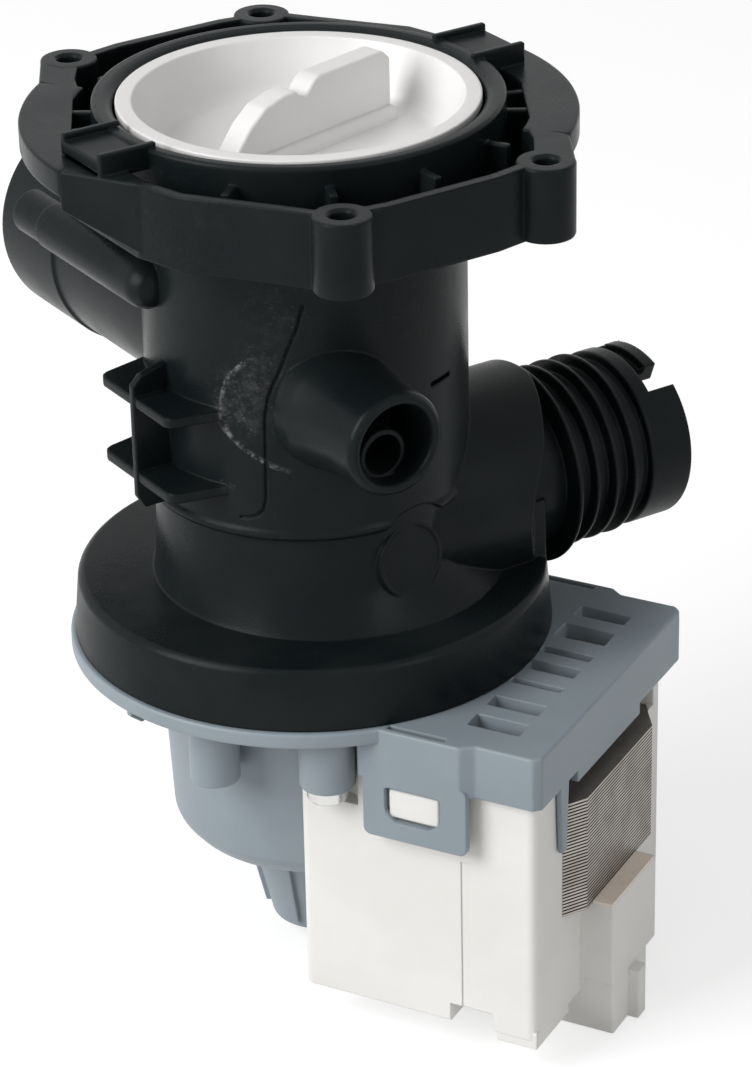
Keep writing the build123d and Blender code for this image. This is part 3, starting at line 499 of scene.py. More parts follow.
class Number:
    """A shader value that can be added, multiplied and compared in ordinary expressions."""

    def __init__(self, recipe: "Recipe", socket: bpy.types.NodeSocket) -> None:
        """Wraps a socket of a recipe."""
        self.recipe = recipe
        self.socket = socket

    def _math(self, operation: str, left: Union["Number", float], right: Union["Number", float]) -> "Number":
        """One Math node."""
        return self.recipe.node("ShaderNodeMath", {"operation": operation}, {0: left, 1: right})

    def __add__(self, other: Union["Number", float]) -> "Number":
        """Sum."""
        return self._math("ADD", self, other)

    def __radd__(self, other: float) -> "Number":
        """Sum with a plain number first."""
        return self._math("ADD", other, self)

    def __sub__(self, other: Union["Number", float]) -> "Number":
        """Difference."""
        return self._math("SUBTRACT", self, other)

    def __rsub__(self, other: float) -> "Number":
        """Difference from a plain number."""
        return self._math("SUBTRACT", other, self)

    def __mul__(self, other: Union["Number", float]) -> "Number":
        """Product."""
        return self._math("MULTIPLY", self, other)

    def __rmul__(self, other: float) -> "Number":
        """Product with a plain number first."""
        return self._math("MULTIPLY", other, self)

    def band(self, low: float, high: float) -> "Number":
        """Rises smoothly from 0 at one value to 1 at another.

        Args:
            low: Where it is still 0.
            high: Where it has become 1.

        Returns:
            The mask.
        """
        settings = {"interpolation_type": "SMOOTHSTEP", "clamp": True}
        return self.recipe.node("ShaderNodeMapRange", settings, {0: self, 1: low, 2: high, 3: 0.0, 4: 1.0})


class Tint(Number):
    """A shader colour. It goes through Mix nodes only."""

    def towards(self, other: Union["Tint", Triple], share: Union[Number, float]) -> "Tint":
        """Mixes in another colour.

        Args:
            other: The other colour.
            share: How much of it shows.

        Returns:
            The mixed colour.
        """
        colour = other if isinstance(other, Tint) else (*other, 1.0)
        mix = self.recipe.raw("ShaderNodeMix", {"data_type": "RGBA"}, {0: share, 6: self, 7: colour})
        socket = mix.outputs[2]
        return Tint(self.recipe, socket)


class Recipe:
    """The node tree of one material or of the surround."""

    def __init__(self, block: Union[bpy.types.Material, bpy.types.World]) -> None:
        """Empties the block's node tree."""
        block.use_nodes = True
        self.block = block
        self.tree = block.node_tree
        self.tree.nodes.clear()

    @classmethod
    def paint(cls, name: str) -> "Recipe":
        """A new material's recipe."""
        return cls(bpy.data.materials.new(name))

    @cached_property
    def place(self) -> Number:
        """The place on the piece."""
        return Number(self, self.raw("ShaderNodeTexCoord").outputs["Object"])

    def link(self, source: bpy.types.Node, target: bpy.types.Node, socket: Union[int, str]) -> None:
        """Joins a node's first output to a socket of another node."""
        self.tree.links.new(source.outputs[0], target.inputs[socket])

    def raw(self, kind: str, settings: Optional[dict[str, Any]] = None,
            inputs: Optional[dict[Any, Any]] = None) -> bpy.types.Node:
        """Makes any node.

        Args:
            kind: The node's type.
            settings: Its properties, set first.
            inputs: Values or links for its sockets, by name or number.

        Returns:
            The node.
        """
        node = self.tree.nodes.new(kind)
        for key, value in (settings or {}).items():
            setattr(node, key, value)
        for key, value in (inputs or {}).items():
            if isinstance(value, Number):
                self.tree.links.new(value.socket, node.inputs[key])
            else:
                node.inputs[key].default_value = value
        return node

    def node(self, kind: str, settings: Optional[dict[str, Any]] = None,
             inputs: Optional[dict[Any, Any]] = None) -> Number:
        """Makes any node and takes its first output as a number."""
        return Number(self, self.raw(kind, settings, inputs).outputs[0])

    def stretched(self, scale: Triple, turn: Triple = (0.0, 0.0, 0.0)) -> Number:
        """The piece's own coordinates, stretched and turned.

        Args:
            scale: Factor along each axis.
            turn: Turn about each axis, in degrees.

        Returns:
            The coordinates.
        """
        turned = tuple(math.radians(angle) for angle in turn)
        return self.node("ShaderNodeMapping", {"vector_type": "POINT"},
                         {"Vector": self.place, "Scale": scale, "Rotation": turned})

    def cloud(self, size: float, detail: float = 3.0, rough: float = 0.55,
              place: Optional[Number] = None) -> Number:
        """Cloudy noise around one half.

        Args:
            size: The size of its patches in millimetres.
            detail: How many finer layers it has.
            rough: How strong those are.
            place: Other coordinates than the piece's own.

        Returns:
            The noise.
        """
        inputs = {"Vector": place or self.place, "Scale": 1.0 / (size * MILLIMETRE),
                  "Detail": detail, "Roughness": rough}
        return self.node("ShaderNodeTexNoise", {"noise_dimensions": "3D"}, inputs)

    def around(self, point: Triple, near: float, far: float) -> Number:
        """A soft round mask about a point.

        Args:
            point: The middle, in millimetres on the bench.
            near: Distance within which it is 1.
            far: Distance beyond which it is 0.

        Returns:
            The mask.
        """
        middle = (point[0] * MILLIMETRE, point[1] * MILLIMETRE, (point[2] - EAR_FACE) * MILLIMETRE)
        measured = self.raw("ShaderNodeVectorMath", {"operation": "DISTANCE"}, {0: self.place, 1: middle})
        distance = Number(self, measured.outputs["Value"])
        return 1.0 - distance.band(near * MILLIMETRE, far * MILLIMETRE)

    def flat(self, colour: Triple) -> Tint:
        """A plain colour."""
        node = self.raw("ShaderNodeRGB")
        node.outputs[0].default_value = (*colour, 1.0)
        return Tint(self, node.outputs[0])

    def relief(self, height: Number, depth: float, corner: float = 0.0) -> Number:
        """A bumped normal.

        Args:
            height: The height pattern.
            depth: How tall it is, in millimetres.
            corner: Radius by which corners look rounded, in millimetres.

        Returns:
            The normal.
        """
        inputs: dict[Any, Any] = {"Height": height, "Strength": 1.0, "Distance": depth * MILLIMETRE}
        if corner > 0.0:
            inputs["Normal"] = self.node("ShaderNodeBevel", {"samples": 6}, {"Radius": corner * MILLIMETRE})
        return self.node("ShaderNodeBump", None, inputs)

    def surface(self, **inputs: Any) -> bpy.types.Material:
        """Ends the recipe in a principled surface.

        Args:
            inputs: Its sockets, with underscores for blanks.

        Returns:
            The material.
        """
        sockets = {name.replace("_", " "): value for name, value in inputs.items()}
        shader = self.raw("ShaderNodeBsdfPrincipled", None, sockets)
        output = self.raw("ShaderNodeOutputMaterial")
        self.tree.links.new(shader.outputs[0], output.inputs["Surface"])
        return self.block


@dataclass(frozen=True)
class Scuff:
    """A rubbed patch with fine scratches; small strong ones also serve as painted highlights.

    Attributes:
        middle: Its middle on the bench.
        reach: How far it spreads.
        strength: How much of it shows.
        turn: Direction of its scratches in degrees about the three axes.
    """

    middle: Triple
    reach: float
    strength: float
    turn: Triple = (0.0, 0.0, 0.0)


@dataclass(frozen=True)
class Arc:
    """A thin rubbed line: part of a circle drawn on a piece.

    Attributes:
        centre: The circle's centre on the bench.
        radius: Its radius.
        near: The middle of the part that shows.
        reach: How far that part spreads.
    """

    centre: Triple
    radius: float
    near: Triple
    reach: float


@dataclass(frozen=True)
class Plastic:
    """Moulded plastic with mottling, grain, dust, rubbed patches and small painted highlights.

    Attributes:
        name: The material's name.
        colour: Its main colour.
        faded: The colour that it drifts to.
        rubbed: The colour of scratches, dust and the small painted highlights.
        roughness: Its middling roughness.
        spread: How far the roughness drifts.
        grain: Height of its grain.
        grain_size: Size of its grain.
        corner: Radius by which corners look rounded.
        sheen: Specular level.
        dust: How much dust lies on it.
        glow: Share of light that passes below the surface.
        scuffs: Its rubbed patches, some of them painted highlights.
        arcs: Its thin rubbed lines.
    """

    name: str
    colour: Triple
    faded: Triple
    rubbed: Triple
    roughness: float
    spread: float
    grain: float
    grain_size: float
    corner: float
    sheen: float = 0.5
    dust: float = 0.0
    glow: float = 0.0
    scuffs: tuple[Scuff, ...] = ()
    arcs: tuple[Arc, ...] = ()

    def material(self) -> bpy.types.Material:
        """Mixes the material."""
        recipe = Recipe.paint(self.name)
        drift = recipe.cloud(22.0, 4.0).band(0.35, 0.68)
        fine = recipe.cloud(self.grain_size, 2.0, 0.6)
        colour = recipe.flat(self.colour).towards(self.faded, drift)
        specks = recipe.cloud(1.1, 2.0, 0.7).band(0.66, 0.78) * recipe.cloud(14.0, 2.0).band(0.45, 0.7)
        wear_and_glints: Union[Number, float] = specks * self.dust
        haze = recipe.cloud(3.0, 6.0, 0.75).band(0.40, 0.78)
        for scuff in self.scuffs:
            lines = recipe.cloud(6.0, 4.0, 0.7, recipe.stretched((9.0, 1.6, 9.0), scuff.turn))
            patch = recipe.around(scuff.middle, scuff.reach * 0.2, scuff.reach)
            # Each scuff mixes in the rubbed colour; the small strong ones at the bracket roots are painted
            # highlights.
            wear_and_glints = wear_and_glints + (lines.band(0.58, 0.70) * 0.35 + haze * 0.16) * patch * scuff.strength
        scratched = recipe.cloud(1.3, 4.0, 0.75).band(0.42, 0.62) * 0.55
        for arc in self.arcs:
            inside = recipe.around(arc.centre, arc.radius - 0.1, arc.radius + 0.35)
            beyond = 1.0 - recipe.around(arc.centre, arc.radius - 1.1, arc.radius - 0.1)
            wear_and_glints = wear_and_glints + inside * beyond * recipe.around(arc.near, arc.reach * 0.6, arc.reach) * scratched
        colour = colour.towards(self.rubbed, wear_and_glints)
        patchy = (drift - 0.5) * self.spread + (fine - 0.5) * (self.spread * 0.8)
        roughness = patchy + self.roughness + wear_and_glints * 0.25
        height = fine + recipe.cloud(self.grain_size * 6.0, 2.0) * 0.8
        return recipe.surface(
            Base_Color=colour, Roughness=roughness, Specular_IOR_Level=self.sheen,
            Subsurface_Weight=self.glow, Subsurface_Radius=(0.004, 0.004, 0.004),
            Normal=recipe.relief(height, self.grain, self.corner),
        )


@dataclass(frozen=True)
class Metal:
    """Metal with drifting tone and fine brush lines; stacked sheets also get painted shade between them.

    Attributes:
        name: The material's name.
        colour: Its clean colour.
        dull: The colour of its tarnish.
        roughness: Its middling roughness.
        brush: Stretch of its brush lines along each axis.
        relief: Height of the lines.
        metallic: How metallic it is.
        pitch: Height of one sheet with its gap, or zero for solid metal.
        gap: The colour of the painted shade in the gaps between sheets.
        lid: Heights in metres above which the topmost sheet's face lightens from the painted shade towards its
            own colour.
        lid_share: How much of its own colour shows there; the rest is painted shade standing for the apron's
            shadow.
    """

    name: str
    colour: Triple
    dull: Triple
    roughness: float
    brush: Triple = (1.0, 1.0, 30.0)
    relief: float = 0.01
    metallic: float = 1.0
    pitch: float = 0.0
    gap: Triple = (0.05, 0.046, 0.042)
    lid: Pair = (-0.12135, -0.12130)
    lid_share: float = 0.4

    def material(self) -> bpy.types.Material:
        """Mixes the material."""
        recipe = Recipe.paint(self.name)
        lines = recipe.cloud(3.0, 3.0, 0.6, recipe.stretched(self.brush))
        drift = recipe.cloud(7.0, 4.0).band(0.38, 0.66)
        colour = recipe.flat(self.colour).towards(self.dull, drift * 0.6 + lines.band(0.5, 0.75) * 0.35)
        # Stacked sheets: dark bands at each sheet's edges are painted shade in the gaps between them, and the
        # topmost face keeps part of it as painted shade under the apron.
        if self.pitch:
            settings = {"wave_type": "BANDS", "bands_direction": "Z", "wave_profile": "SIN"}
            inputs = {"Vector": recipe.place, "Scale": math.tau / 20.0 / (self.pitch * MILLIMETRE)}
            crest = Number(recipe, recipe.raw("ShaderNodeTexWave", settings, inputs).outputs["Fac"])
            split = recipe.raw("ShaderNodeSeparateXYZ", None, {"Vector": recipe.place})
            top = Number(recipe, split.outputs["Z"]).band(*self.lid) * self.lid_share
            colour = recipe.flat(self.gap).towards(colour, crest.band(0.3, 0.5) + top)
        roughness = (lines - 0.5) * 0.25 + drift * 0.12 + self.roughness
        return recipe.surface(Base_Color=colour, Roughness=roughness, Metallic=self.metallic,
                              Normal=recipe.relief(lines, self.relief))


@dataclass(frozen=True)
class Pressed:
    """A matt pressed material: fibre, rubber or ferrite.

    Attributes:
        name: The material's name.
        colour: Its main colour.
        other: The colour of its fibres or bloom.
        roughness: Its middling roughness.
        size: Size of its fibres or grain.
        relief: Height of its grain.
    """

    name: str
    colour: Triple
    other: Triple
    roughness: float
    size: float
    relief: float

    def material(self) -> bpy.types.Material:
        """Mixes the material."""
        recipe = Recipe.paint(self.name)
        fibres = recipe.cloud(self.size, 5.0, 0.7)
        drift = recipe.cloud(self.size * 9.0, 3.0).band(0.35, 0.7)
        colour = recipe.flat(self.colour).towards(self.other, fibres.band(0.42, 0.7) * 0.55 + drift * 0.25)
        roughness = (fibres - 0.5) * 0.2 + self.roughness
        return recipe.surface(Base_Color=colour, Roughness=roughness,
                              Normal=recipe.relief(fibres, self.relief))


@dataclass(frozen=True)
class Winding:
    """Enamelled wire wound in close turns.

    Attributes:
        name: The material's name.
        colour: Colour of the wire's crest.
        shade: Colour between the turns.
        pitch: Thickness of the wire.
    """

    name: str
    colour: Triple
    shade: Triple
    pitch: float = 0.45

    def material(self) -> bpy.types.Material:
        """Mixes the material."""
        recipe = Recipe.paint(self.name)
        along = recipe.stretched((1.0, 1.0, 1.0), (0.0, 0.0, -MOTOR_TURN))
        inputs = {"Vector": along, "Scale": math.tau / 20.0 / (self.pitch * MILLIMETRE),
                  "Distortion": 0.25, "Detail": 1.0, "Detail Scale": 2.0}
        settings = {"wave_type": "BANDS", "bands_direction": "X", "wave_profile": "SIN"}
        turns = Number(recipe, recipe.raw("ShaderNodeTexWave", settings, inputs).outputs["Fac"])
        drift = recipe.cloud(5.0, 3.0)
        colour = recipe.flat(self.shade).towards(self.colour, turns.band(0.05, 0.6) * (drift * 0.5 + 0.6))
        return recipe.surface(Base_Color=colour, Roughness=drift * 0.15 + 0.28, Metallic=0.75,
                              Coat_Weight=0.4, Normal=recipe.relief(turns, 0.12))


BLACK = Plastic(
    name="black_polypropylene", colour=(0.0062, 0.0092, 0.0102), faded=(0.0100, 0.0131, 0.0141),
    rubbed=(0.26, 0.26, 0.255), roughness=0.32, spread=0.12, grain=0.03, grain_size=0.45, corner=0.7,
    sheen=0.09, dust=0.05,
    scuffs=(
        Scuff((17.8, -24.6, 58.5), 10.0, 1.0, (0.0, 24.0, 35.0)),
        Scuff((20.8, -22.0, 66.0), 8.0, 0.5, (10.0, 40.0, 10.0)),
        Scuff((23.0, -19.8, 77.0), 11.0, 0.30, (25.0, 10.0, 50.0)),
        Scuff((30.4, 3.0, 74.0), 10.0, 0.14, (0.0, 60.0, 0.0)),
        # Next two: painted highlights on the fillets where the bracket plates meet the barrel, with some stress
        # whitening.
        Scuff((13.9, -27.0, 56.2), 1.8, 1.6), Scuff((14.6, -26.6, 41.5), 2.0, 1.4),
        Scuff((3.5, -30.5, 28.0), 5.0, 0.3, (0.0, 0.0, 60.0)),
        Scuff((22.0, -38.0, 98.0), 18.0, 0.10, (0.0, 15.0, 0.0)),
    ),
    arcs=(
        Arc((22.8, -20.1, 57.47), 11.4, (14.8, -26.4, 60.4), 10.5),
        Arc((27.3, -13.3, 70.4), 26.0, (18.6, -24.0, 48.7), 9.0),
    ),
)
GREY = Plastic(
    name="blue_grey_plastic", colour=(0.236, 0.279, 0.311), faded=(0.261, 0.307, 0.338),
    rubbed=(0.42, 0.46, 0.49), roughness=0.46, spread=0.10, grain=0.02, grain_size=0.5, corner=0.45,
    sheen=0.45, dust=0.10,
)
WHITE = Plastic(
    name="milky_polypropylene", colour=(0.785, 0.773, 0.764), faded=(0.82, 0.809, 0.801),
    rubbed=(0.62, 0.62, 0.61), roughness=0.34, spread=0.08, grain=0.012, grain_size=0.8, corner=0.5,
    sheen=0.5, dust=0.05, glow=0.25,
)
CREAM = Plastic(
    name="cream_overmould", colour=(0.78, 0.765, 0.735), faded=(0.82, 0.81, 0.785),
    rubbed=(0.55, 0.53, 0.49), roughness=0.5, spread=0.10, grain=0.02, grain_size=0.5, corner=0.45,
    sheen=0.4, dust=0.10,
)
WHEEL = Plastic(
    name="natural_polypropylene", colour=(0.74, 0.73, 0.70), faded=(0.79, 0.78, 0.75),
    rubbed=(0.5, 0.48, 0.44), roughness=0.4, spread=0.10, grain=0.015, grain_size=0.6, corner=0.3,
    dust=0.08, glow=0.1,
)
# Stacked sheets: painted shade between the sheets and on the top face under the apron.
SHEETS = Metal("stamped_sheets", (0.47, 0.44, 0.40), (0.33, 0.295, 0.26), 0.42, (2.0, 2.0, 60.0), 0.02, 0.8,
               pitch=0.7)
ZINC = Metal("zinc_plated", (0.72, 0.72, 0.71), (0.52, 0.51, 0.48), 0.28, (8.0, 8.0, 8.0))
GROUND = Metal("ground_steel", (0.60, 0.60, 0.60), (0.42, 0.41, 0.40), 0.22, (1.0, 1.0, 26.0))
TINNED = Metal("tinned_brass", (0.74, 0.68, 0.52), (0.50, 0.44, 0.32), 0.3, (4.0, 4.0, 30.0))
BRONZE = Metal("sintered_bronze", (0.52, 0.37, 0.19), (0.30, 0.21, 0.12), 0.5, (3.0, 3.0, 3.0), 0.03)
FIBRE = Pressed("pressed_fibre", (0.92, 0.82, 0.725), (0.78, 0.675, 0.58), 0.85, 0.8, 0.05)
RUBBER = Pressed("seal_rubber", (0.012, 0.012, 0.012), (0.03, 0.03, 0.029), 0.72, 0.6, 0.02)
FERRITE = Pressed("pressed_ferrite", (0.045, 0.045, 0.047), (0.08, 0.078, 0.075), 0.62, 0.5, 0.02)
COPPER = Winding("enamelled_wire", (0.62, 0.27, 0.11), (0.16, 0.06, 0.03))

Finish = Union[Plastic, Metal, Pressed, Winding]
SHOP: dict[str, bpy.types.Material] = {}


def mixed(finish: Finish) -> bpy.types.Material:
    """The material of a finish, mixed the first time it is asked for."""
    if finish.name not in SHOP:
        SHOP[finish.name] = finish.material()
    return SHOP[finish.name]


@dataclass
class Delivery:
    """How a finished piece leaves the bench.

    Attributes:
        name: The piece's name.
        finish: Its finish.
        body: The body that it moves with.
        slot: The material slot that it stands in; not used.
        stands_for: CAD nodes that it takes the place of.
        motor: Whether it was built in the motor's own direction.
        crease: Edges sharper than this stay sharp, in degrees.
    """

    name: str
    finish: Finish
    body: Body
    slot: Slot
    stands_for: tuple[str, ...] = ()
    motor: bool = False
    crease: float = 32.0

    def send(self, mesh: bpy.types.Mesh) -> bpy.types.Object:
        """Lowers, scales and dresses a mesh, and hangs it on its body.

        Args:
            mesh: The mesh on the bench, in millimetres.

        Returns:
            The finished piece.
        """
        turn = Matrix.Rotation(math.radians(MOTOR_TURN if self.motor else 0.0), 4, "Z")
        lower = Matrix.Translation((0.0, 0.0, -EAR_FACE))
        mesh.transform(Matrix.Scale(MILLIMETRE, 4) @ lower @ turn)
        mesh.shade_smooth()
        mesh.set_sharp_from_angle(angle=math.radians(self.crease))
        mesh.materials.clear()
        mesh.materials.append(mixed(self.finish))
        piece = bpy.data.objects.new(self.name, mesh)
        bpy.context.scene.collection.objects.link(piece)
        weights = piece.modifiers.new("even_shading", "WEIGHTED_NORMAL")
        weights.keep_sharp = True
        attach(piece, self.body.value)
        if self.stands_for:
            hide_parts(*self.stands_for)
        LOG.info("piece %s: %d faces, rides on %s", self.name, len(mesh.polygons), self.body.value)
        return piece


@dataclass
class FilterBarrel:
    """The upright barrel with its flared foot and the impeller chamber below."""

    radius: float = 30.4
    lower_radius: float = 29.5
    step: float = 32.0
    foot_top: float = 26.0
    top: float = 92.5
    bore: float = 28.0
    chamber: float = 27.0
    chamber_top: float = 38.0
    partition: float = 2.5
    suction: float = 12.0
    lean: float = 60.0
    foot: tuple[Triple, ...] = (
        (26.5, 29.45, 0.0), (23.5, 29.75, 0.2), (20.5, 30.1, 0.5), (18.0, 30.75, 1.0), (16.0, 31.6, 1.7),
        (13.4, 33.0, 2.8), (11.0, 34.8, 4.0),
    )
    key: tuple[Pair, Pair, Pair] = ((25.8, 28.8), (-1.5, 1.5), (46.0, 84.0))
    lip: tuple[Pair, ...] = (
        (-1.1, -0.9), (-0.25, -0.75), (0.25, -0.45), (0.5, 0.0), (0.58, 0.5), (0.45, 1.0), (0.2, 1.35),
        (0.0, 1.6),
    )

    def solids(self) -> list[Blank]:
        """The barrel, its narrower lower part and the foot."""
        sections = [(height, radius, polar(away, self.lean)) for height, radius, away in self.foot]
        lip = [(self.radius + out, self.step + up) for out, up in self.lip]
        barrel = [(0.0, self.step + self.lip[0][1]), *lip, (self.radius, self.top), (0.0, self.top)]
        lower = Blank.turned([(0.0, self.foot_top - 1), (self.lower_radius, self.foot_top - 1),
                              (self.lower_radius, self.step + 6.0), (0.0, self.step + 6.0)], 128)
        return [Blank.turned(barrel, 128), lower, Blank.bridged(sections, 128)]

    def hollows(self, mouth: float) -> list[Blank]:
        """The chamber, the barrel's bore up to the mouth and the suction hole.

        Args:
            mouth: How high the bore reaches.

        Returns:
            What is cut out.
        """
        deck = self.chamber_top + self.partition
        return [
            Blank.rod(self.chamber, -2.0, self.chamber_top, steps=96).soften(0.6),
            Blank.rod(self.bore, deck, mouth, steps=96).soften(0.8),
            Blank.rod(self.suction, self.chamber_top - OVERRUN, deck + OVERRUN, steps=64),
        ]

    def keys(self) -> list[Blank]:
        """The two guide ribs for the strainer."""
        return [Blank.box(*self.key).soften(0.3).about(angle) for angle in (90.0, -90.0)]


@dataclass
class Skirt:
    """The broad skirt that sits on the motor plate."""

    radius: float = 46.16
    top_radius: float = 45.1
    top: float = 12.3
    edge: float = 1.0
    groove: tuple[float, float, float] = (28.8, 31.8, 2.5)

    def solids(self) -> list[Blank]:
        """The skirt."""
        profile = [(0.0, 0.0), (self.radius, 0.0), (self.top_radius, self.top - self.edge),
                   (self.top_radius - self.edge, self.top), (0.0, self.top)]
        return [Blank.turned(profile, 160).soften(0.45, 2, 20.0)]

    def hollows(self) -> list[Blank]:
        """The seal groove in its underside."""
        inner, outer, depth = self.groove
        return [Blank.turned([(inner, -2.0), (outer, -2.0), (outer, depth), (inner, depth)])]


@dataclass
class MouthFlange:
    """The open tray, ears, lobes and ring at the barrel's mouth."""

    low: float = 90.5
    floor: float = 92.5
    top: float = 104.5
    wall: float = 2.0
    outline: tuple[Pair, ...] = (
        (-12.0, -43.0), (14.6, -43.0), (16.2, -42.5), (24.3, -40.2), (32.5, -34.0), (39.3, -29.0),
        (47.5, -23.2), (49.3, -12.6), (49.3, 10.0), (47.5, 21.3), (36.0, 29.1),
    )
    ring: float = 37.8
    ring_bore: float = 33.9
    ring_top: float = 107.6
    ear: float = 5.4
    ear_hole: float = 2.2
    ear_at: Pair = (47.5, 21.3)
    lobe_radius: float = 51.0
    lobe_inner: float = 42.0
    lobe_low: float = 99.5
    lobe_span: Pair = (-141.0, -88.0)
    toe_turn: float = 30.9
    toe_length: float = 18.3
    toe_in: tuple[Pair, ...] = ((13.0, -41.2), (0.0, -43.0))
    toe_web_high: float = 97.0
    heel: tuple[Pair, ...] = ((-50.5, -25.7), (-47.5, -21.3))
    stub_angles: tuple[float, ...] = (-50.0, -24.0, 3.0, 30.0, 55.0, 68.0)
    stub_reach: Pair = (36.2, 42.2)
    stub_wide: float = 1.6
    stub_top: float = 104.0
    snap_x: float = 1.8
    snap_half: float = 6.4
    snap_arm: float = 1.4
    snap_reach: Pair = (-46.5, -35.0)
    snap_top: float = 108.6
    snap_low: float = 103.8
    shelf_in: float = 37.6
    shelf: Pair = (105.0, 107.2)
    lead: float = 10.0
    thread: tuple[float, float, float] = (32.5, 97.2, 140.0)

    def ears(self) -> list[Pair]:
        """Where the four ears stand."""
        return [(x, y) for x in (-self.ear_at[0], self.ear_at[0]) for y in (-self.ear_at[1], self.ear_at[1])]

    def lobe(self) -> list[Blank]:
        """One lobe with its heel, toe and the web under the toe."""
        first, last = self.lobe_span
        start = polar(self.lobe_radius, last)
        along = polar(self.toe_length, self.toe_turn)
        toe = [start, (start[0] + along[0], start[1] + along[1]), *self.toe_in]
        heel = [polar(self.lobe_radius, first), *self.heel, polar(self.lobe_inner, first + 3.0)]
        web = [(0.0, self.toe_web_high), (self.toe_length, self.low), (self.toe_length, self.top - 0.2),
               (0.0, self.top - 0.2)]
        stood = Blank.slab(web, 0.0, self.wall).upright_xz(self.wall).soften(0.35)
        return [
            Blank.swept(self.lobe_inner, self.lobe_radius, self.lobe_low, self.top, first,
                        last - first).soften(0.5),
            Blank.slab(toe, self.lobe_low, self.top).soften(0.5),
            Blank.slab(heel, self.lobe_low, self.top).soften(0.5),
            stood.about(self.toe_turn).shift(start[0], start[1]),
        ]

    def stubs(self) -> list[Blank]:
        """The short walls around the ring."""
        half = self.stub_wide / 2
        made = []
        for angle in self.stub_angles:
            stub = Blank.box(self.stub_reach, (-half, half), (self.low + 0.5, self.stub_top)).soften(0.3)
            made.append(stub.about(angle))
        return made

    def snap(self) -> list[Blank]:
        """One snap bracket: two arms and a shelf."""
        half = self.snap_arm / 2
        made = []
        for x in (self.snap_x - self.snap_half, self.snap_x + self.snap_half):
            arm = Blank.box((x - half, x + half), self.snap_reach, (self.snap_low, self.snap_top))
            made.append(arm.soften(0.35))
        xs = (self.snap_x - self.snap_half, self.snap_x + self.snap_half)
        made.append(Blank.box(xs, (self.snap_reach[0], -self.shelf_in), self.shelf).soften(0.3))
        return made

    def snap_gap(self) -> Blank:
        """The gap in the tray's wall for a snap bracket."""
        xs = (self.snap_x - self.snap_half, self.snap_x + self.snap_half)
        return Blank.box(xs, (self.snap_reach[0], -self.ring + 0.5), (self.floor, self.ring_top))

    def tray(self) -> Blank:
        """The tray with its ears and lobes, opened for the snap brackets."""
        shell = Blank.tray(both_ends(self.outline), self.low, self.top, self.wall, self.floor)
        work = Moulding("tray", shell)
        for x, y in self.ears():
            work.join(Blank.rod(self.ear, self.low, self.top + 0.05, (x, y), steps=56).soften(0.55))
        for blank in self.lobe():
            work.join(blank.twin(), blank)
        return work.cut(self.snap_gap().twin(), self.snap_gap()).blank()

    def solids(self) -> list[Blank]:
        """Everything round the mouth but the threads."""
        made = [self.tray()]
        for blank in self.snap() + self.stubs():
            made += [blank.twin(), blank]
        made.append(Blank.rod(self.ring, self.low + 0.2, self.ring_top, steps=144).soften(0.7, 3))
        return made

    def hollows(self) -> list[Blank]:
        """The ring's bore, with its lip eased, and the ear holes."""
        bore = [(0.0, self.floor), (self.ring_bore, self.floor), (self.ring_bore, self.ring_top - 1.5),
                (self.ring_bore + 0.4, self.ring_top - 0.9), (self.ring_bore + 2.1, self.ring_top + 0.1),
                (0.0, self.ring_top + 0.1)]
        holes = []
        for at in self.ears():
            sunk = [(0.0, self.low - OVERRUN), (self.ear_hole, self.low - OVERRUN),
                    (self.ear_hole, self.top - 0.5),
                    (self.ear_hole + 0.7, self.top + 0.2), (0.0, self.top + 0.2)]
            holes.append(Blank.turned(sunk, 40).shift(*at))
        return [Blank.turned(bore, 144)] + holes

    def threads(self) -> list[Blank]:
        """The two thread ribs inside the ring."""
        crest, low, sweep = self.thread
        rise = self.lead * sweep / 360.0
        return [Blank.swept(crest, self.ring_bore + 0.6, low - 1.0, low + 1.0, start, sweep, rise, 36)
                for start in (0.0, 180.0)]


